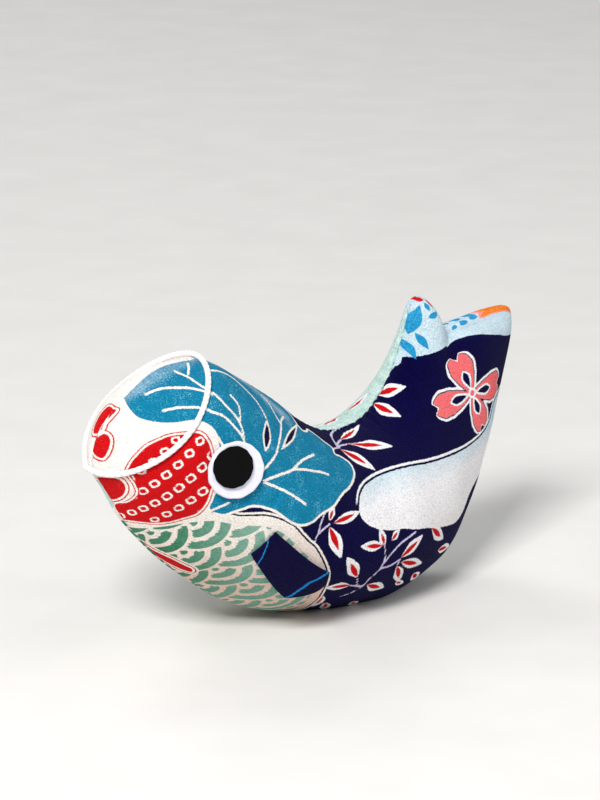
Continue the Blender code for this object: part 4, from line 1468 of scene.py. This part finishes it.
def pellet_bag():
    """A flattened ball of cloth, dimpled by the pellets in it."""
    turn = np.linspace(0, 2 * math.pi, 96, endpoint=False)[None, :]
    rise = np.linspace(-90, 90, 49)[:, None] * math.pi / 180
    level = np.cos(rise)
    ball = np.stack(np.broadcast_arrays(level * np.cos(turn), level * np.sin(turn), np.sin(rise)), axis=-1)
    points = PELLET_CENTRE + ball * (PELLET_RADII - POUCH_CLOTH)
    points = points + ball * lumpy(points, 4, 2.2, 0.14)[..., None]
    points, faces = points.reshape(-1, 3), ring_quads(*points.shape[:2])
    return mesh_object("pellet_pouch", points * MM, faces, {"cloth": points}, 80.0)


def make_room(piece):
    """Hollows the wadding round the pouch: each point under the pouch's larger ellipsoid is raised to
    its upper half."""
    place = np.empty(len(piece.data.vertices) * 3)
    piece.data.vertices.foreach_get("co", place)
    place = place.reshape(-1, 3) / MM
    radii = PELLET_RADII + POCKET_ROOM
    off = (place - PELLET_CENTRE) / radii
    from_middle = off[:, 0] ** 2 + off[:, 1] ** 2
    raised = PELLET_CENTRE[2] + np.sqrt(np.clip(1 - from_middle, 0, 1)) * radii[2]
    under = (from_middle < 1) & (place[:, 2] < raised)
    place[under, 2] = raised[under]
    piece.data.vertices.foreach_set("co", (place * MM).astype(np.float32).ravel())
    piece.data.update()


def fibre_fill(name, dark, light):
    """Matted fibres in soft tufts."""
    fill = Finish(name, 0.95, Sheen_Weight=0.5)
    tufts = fill.noise(fill.cloth(), 0.5, 5.0, 0.6)
    strands = fill.noise(fill.cloth((1.0, 4.0)), 3.0, 3.0, 0.7)
    color = fill.blend(tufts + strands * 0.5 + 0.5, dark, light)
    return fill.end(color, strands * 0.1 + 0.9, strands + tufts, 0.0004, 0.8)


wadding = fibre_fill("wadding", linear(216, 213, 204), linear(250, 249, 246))
body_fill = wad("loose_wadding", STUFFING_SPAN, 90, 12)
tail_fill = wad("tail_wad", TAIL_WAD_SPAN, 50, 13)
pouch = pellet_bag()
make_room(body_fill)
body_fill.data.materials.append(wadding)
tail_fill.data.materials.append(wadding)
pouch.data.materials.append(fibre_fill("pellet_cloth", linear(190, 178, 150), linear(222, 212, 188)))
print("three fillings")

# %% [markdown]
# ## Fasten every piece to its body
# The carp's body carries all but the fins, which ride on their own bodies and lift with them.
# Each piece names the imported node that it stands for, which is hidden. The panels are cloth
# pulled tight over the filling, and the flat area of their cut is printed.

# %% Ride and replace


def fasten(piece, body, node):
    """Puts a piece on a body, in the place of one node, which it hides."""
    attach(piece, body)
    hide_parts(node)


def net_area():
    """Flat area of a panel in square metres, from the cells of the pressed net."""
    a = FLAT[1:, 1:] - FLAT[:-1, :-1]
    b = FLAT[:-1, 1:] - FLAT[1:, :-1]
    return float(np.abs(a[..., 0] * b[..., 1] - a[..., 1] * b[..., 0]).sum() / 2 * MM * MM)


flat_size = tuple(float(x) for x in (FLAT.max((0, 1)) - FLAT.min((0, 1))) * MM)
for word in ("left", "right"):
    fasten(panels[word], "carp", f"panel_{word}")
    net_area()
    white, pupil = eyes[word]
    fasten(white, "carp", f"eye_white_{word}")
    fasten(pupil, "carp", f"eye_pupil_{word}")
    fasten(fins[word], f"fin_{word}", f"pectoral_fin_{word}")
fasten(mouth, "carp", "mouth_cord")
fasten(stitches, "carp", "closing_thread")
fasten(body_fill, "carp", "stuffing")
fasten(tail_fill, "carp", "tail_wadding")
fasten(pouch, "carp", "pellet_bag")
print("cut of a panel:", [round(x / MM) for x in flat_size], "mm,", round(net_area() * 1e6), "square mm")
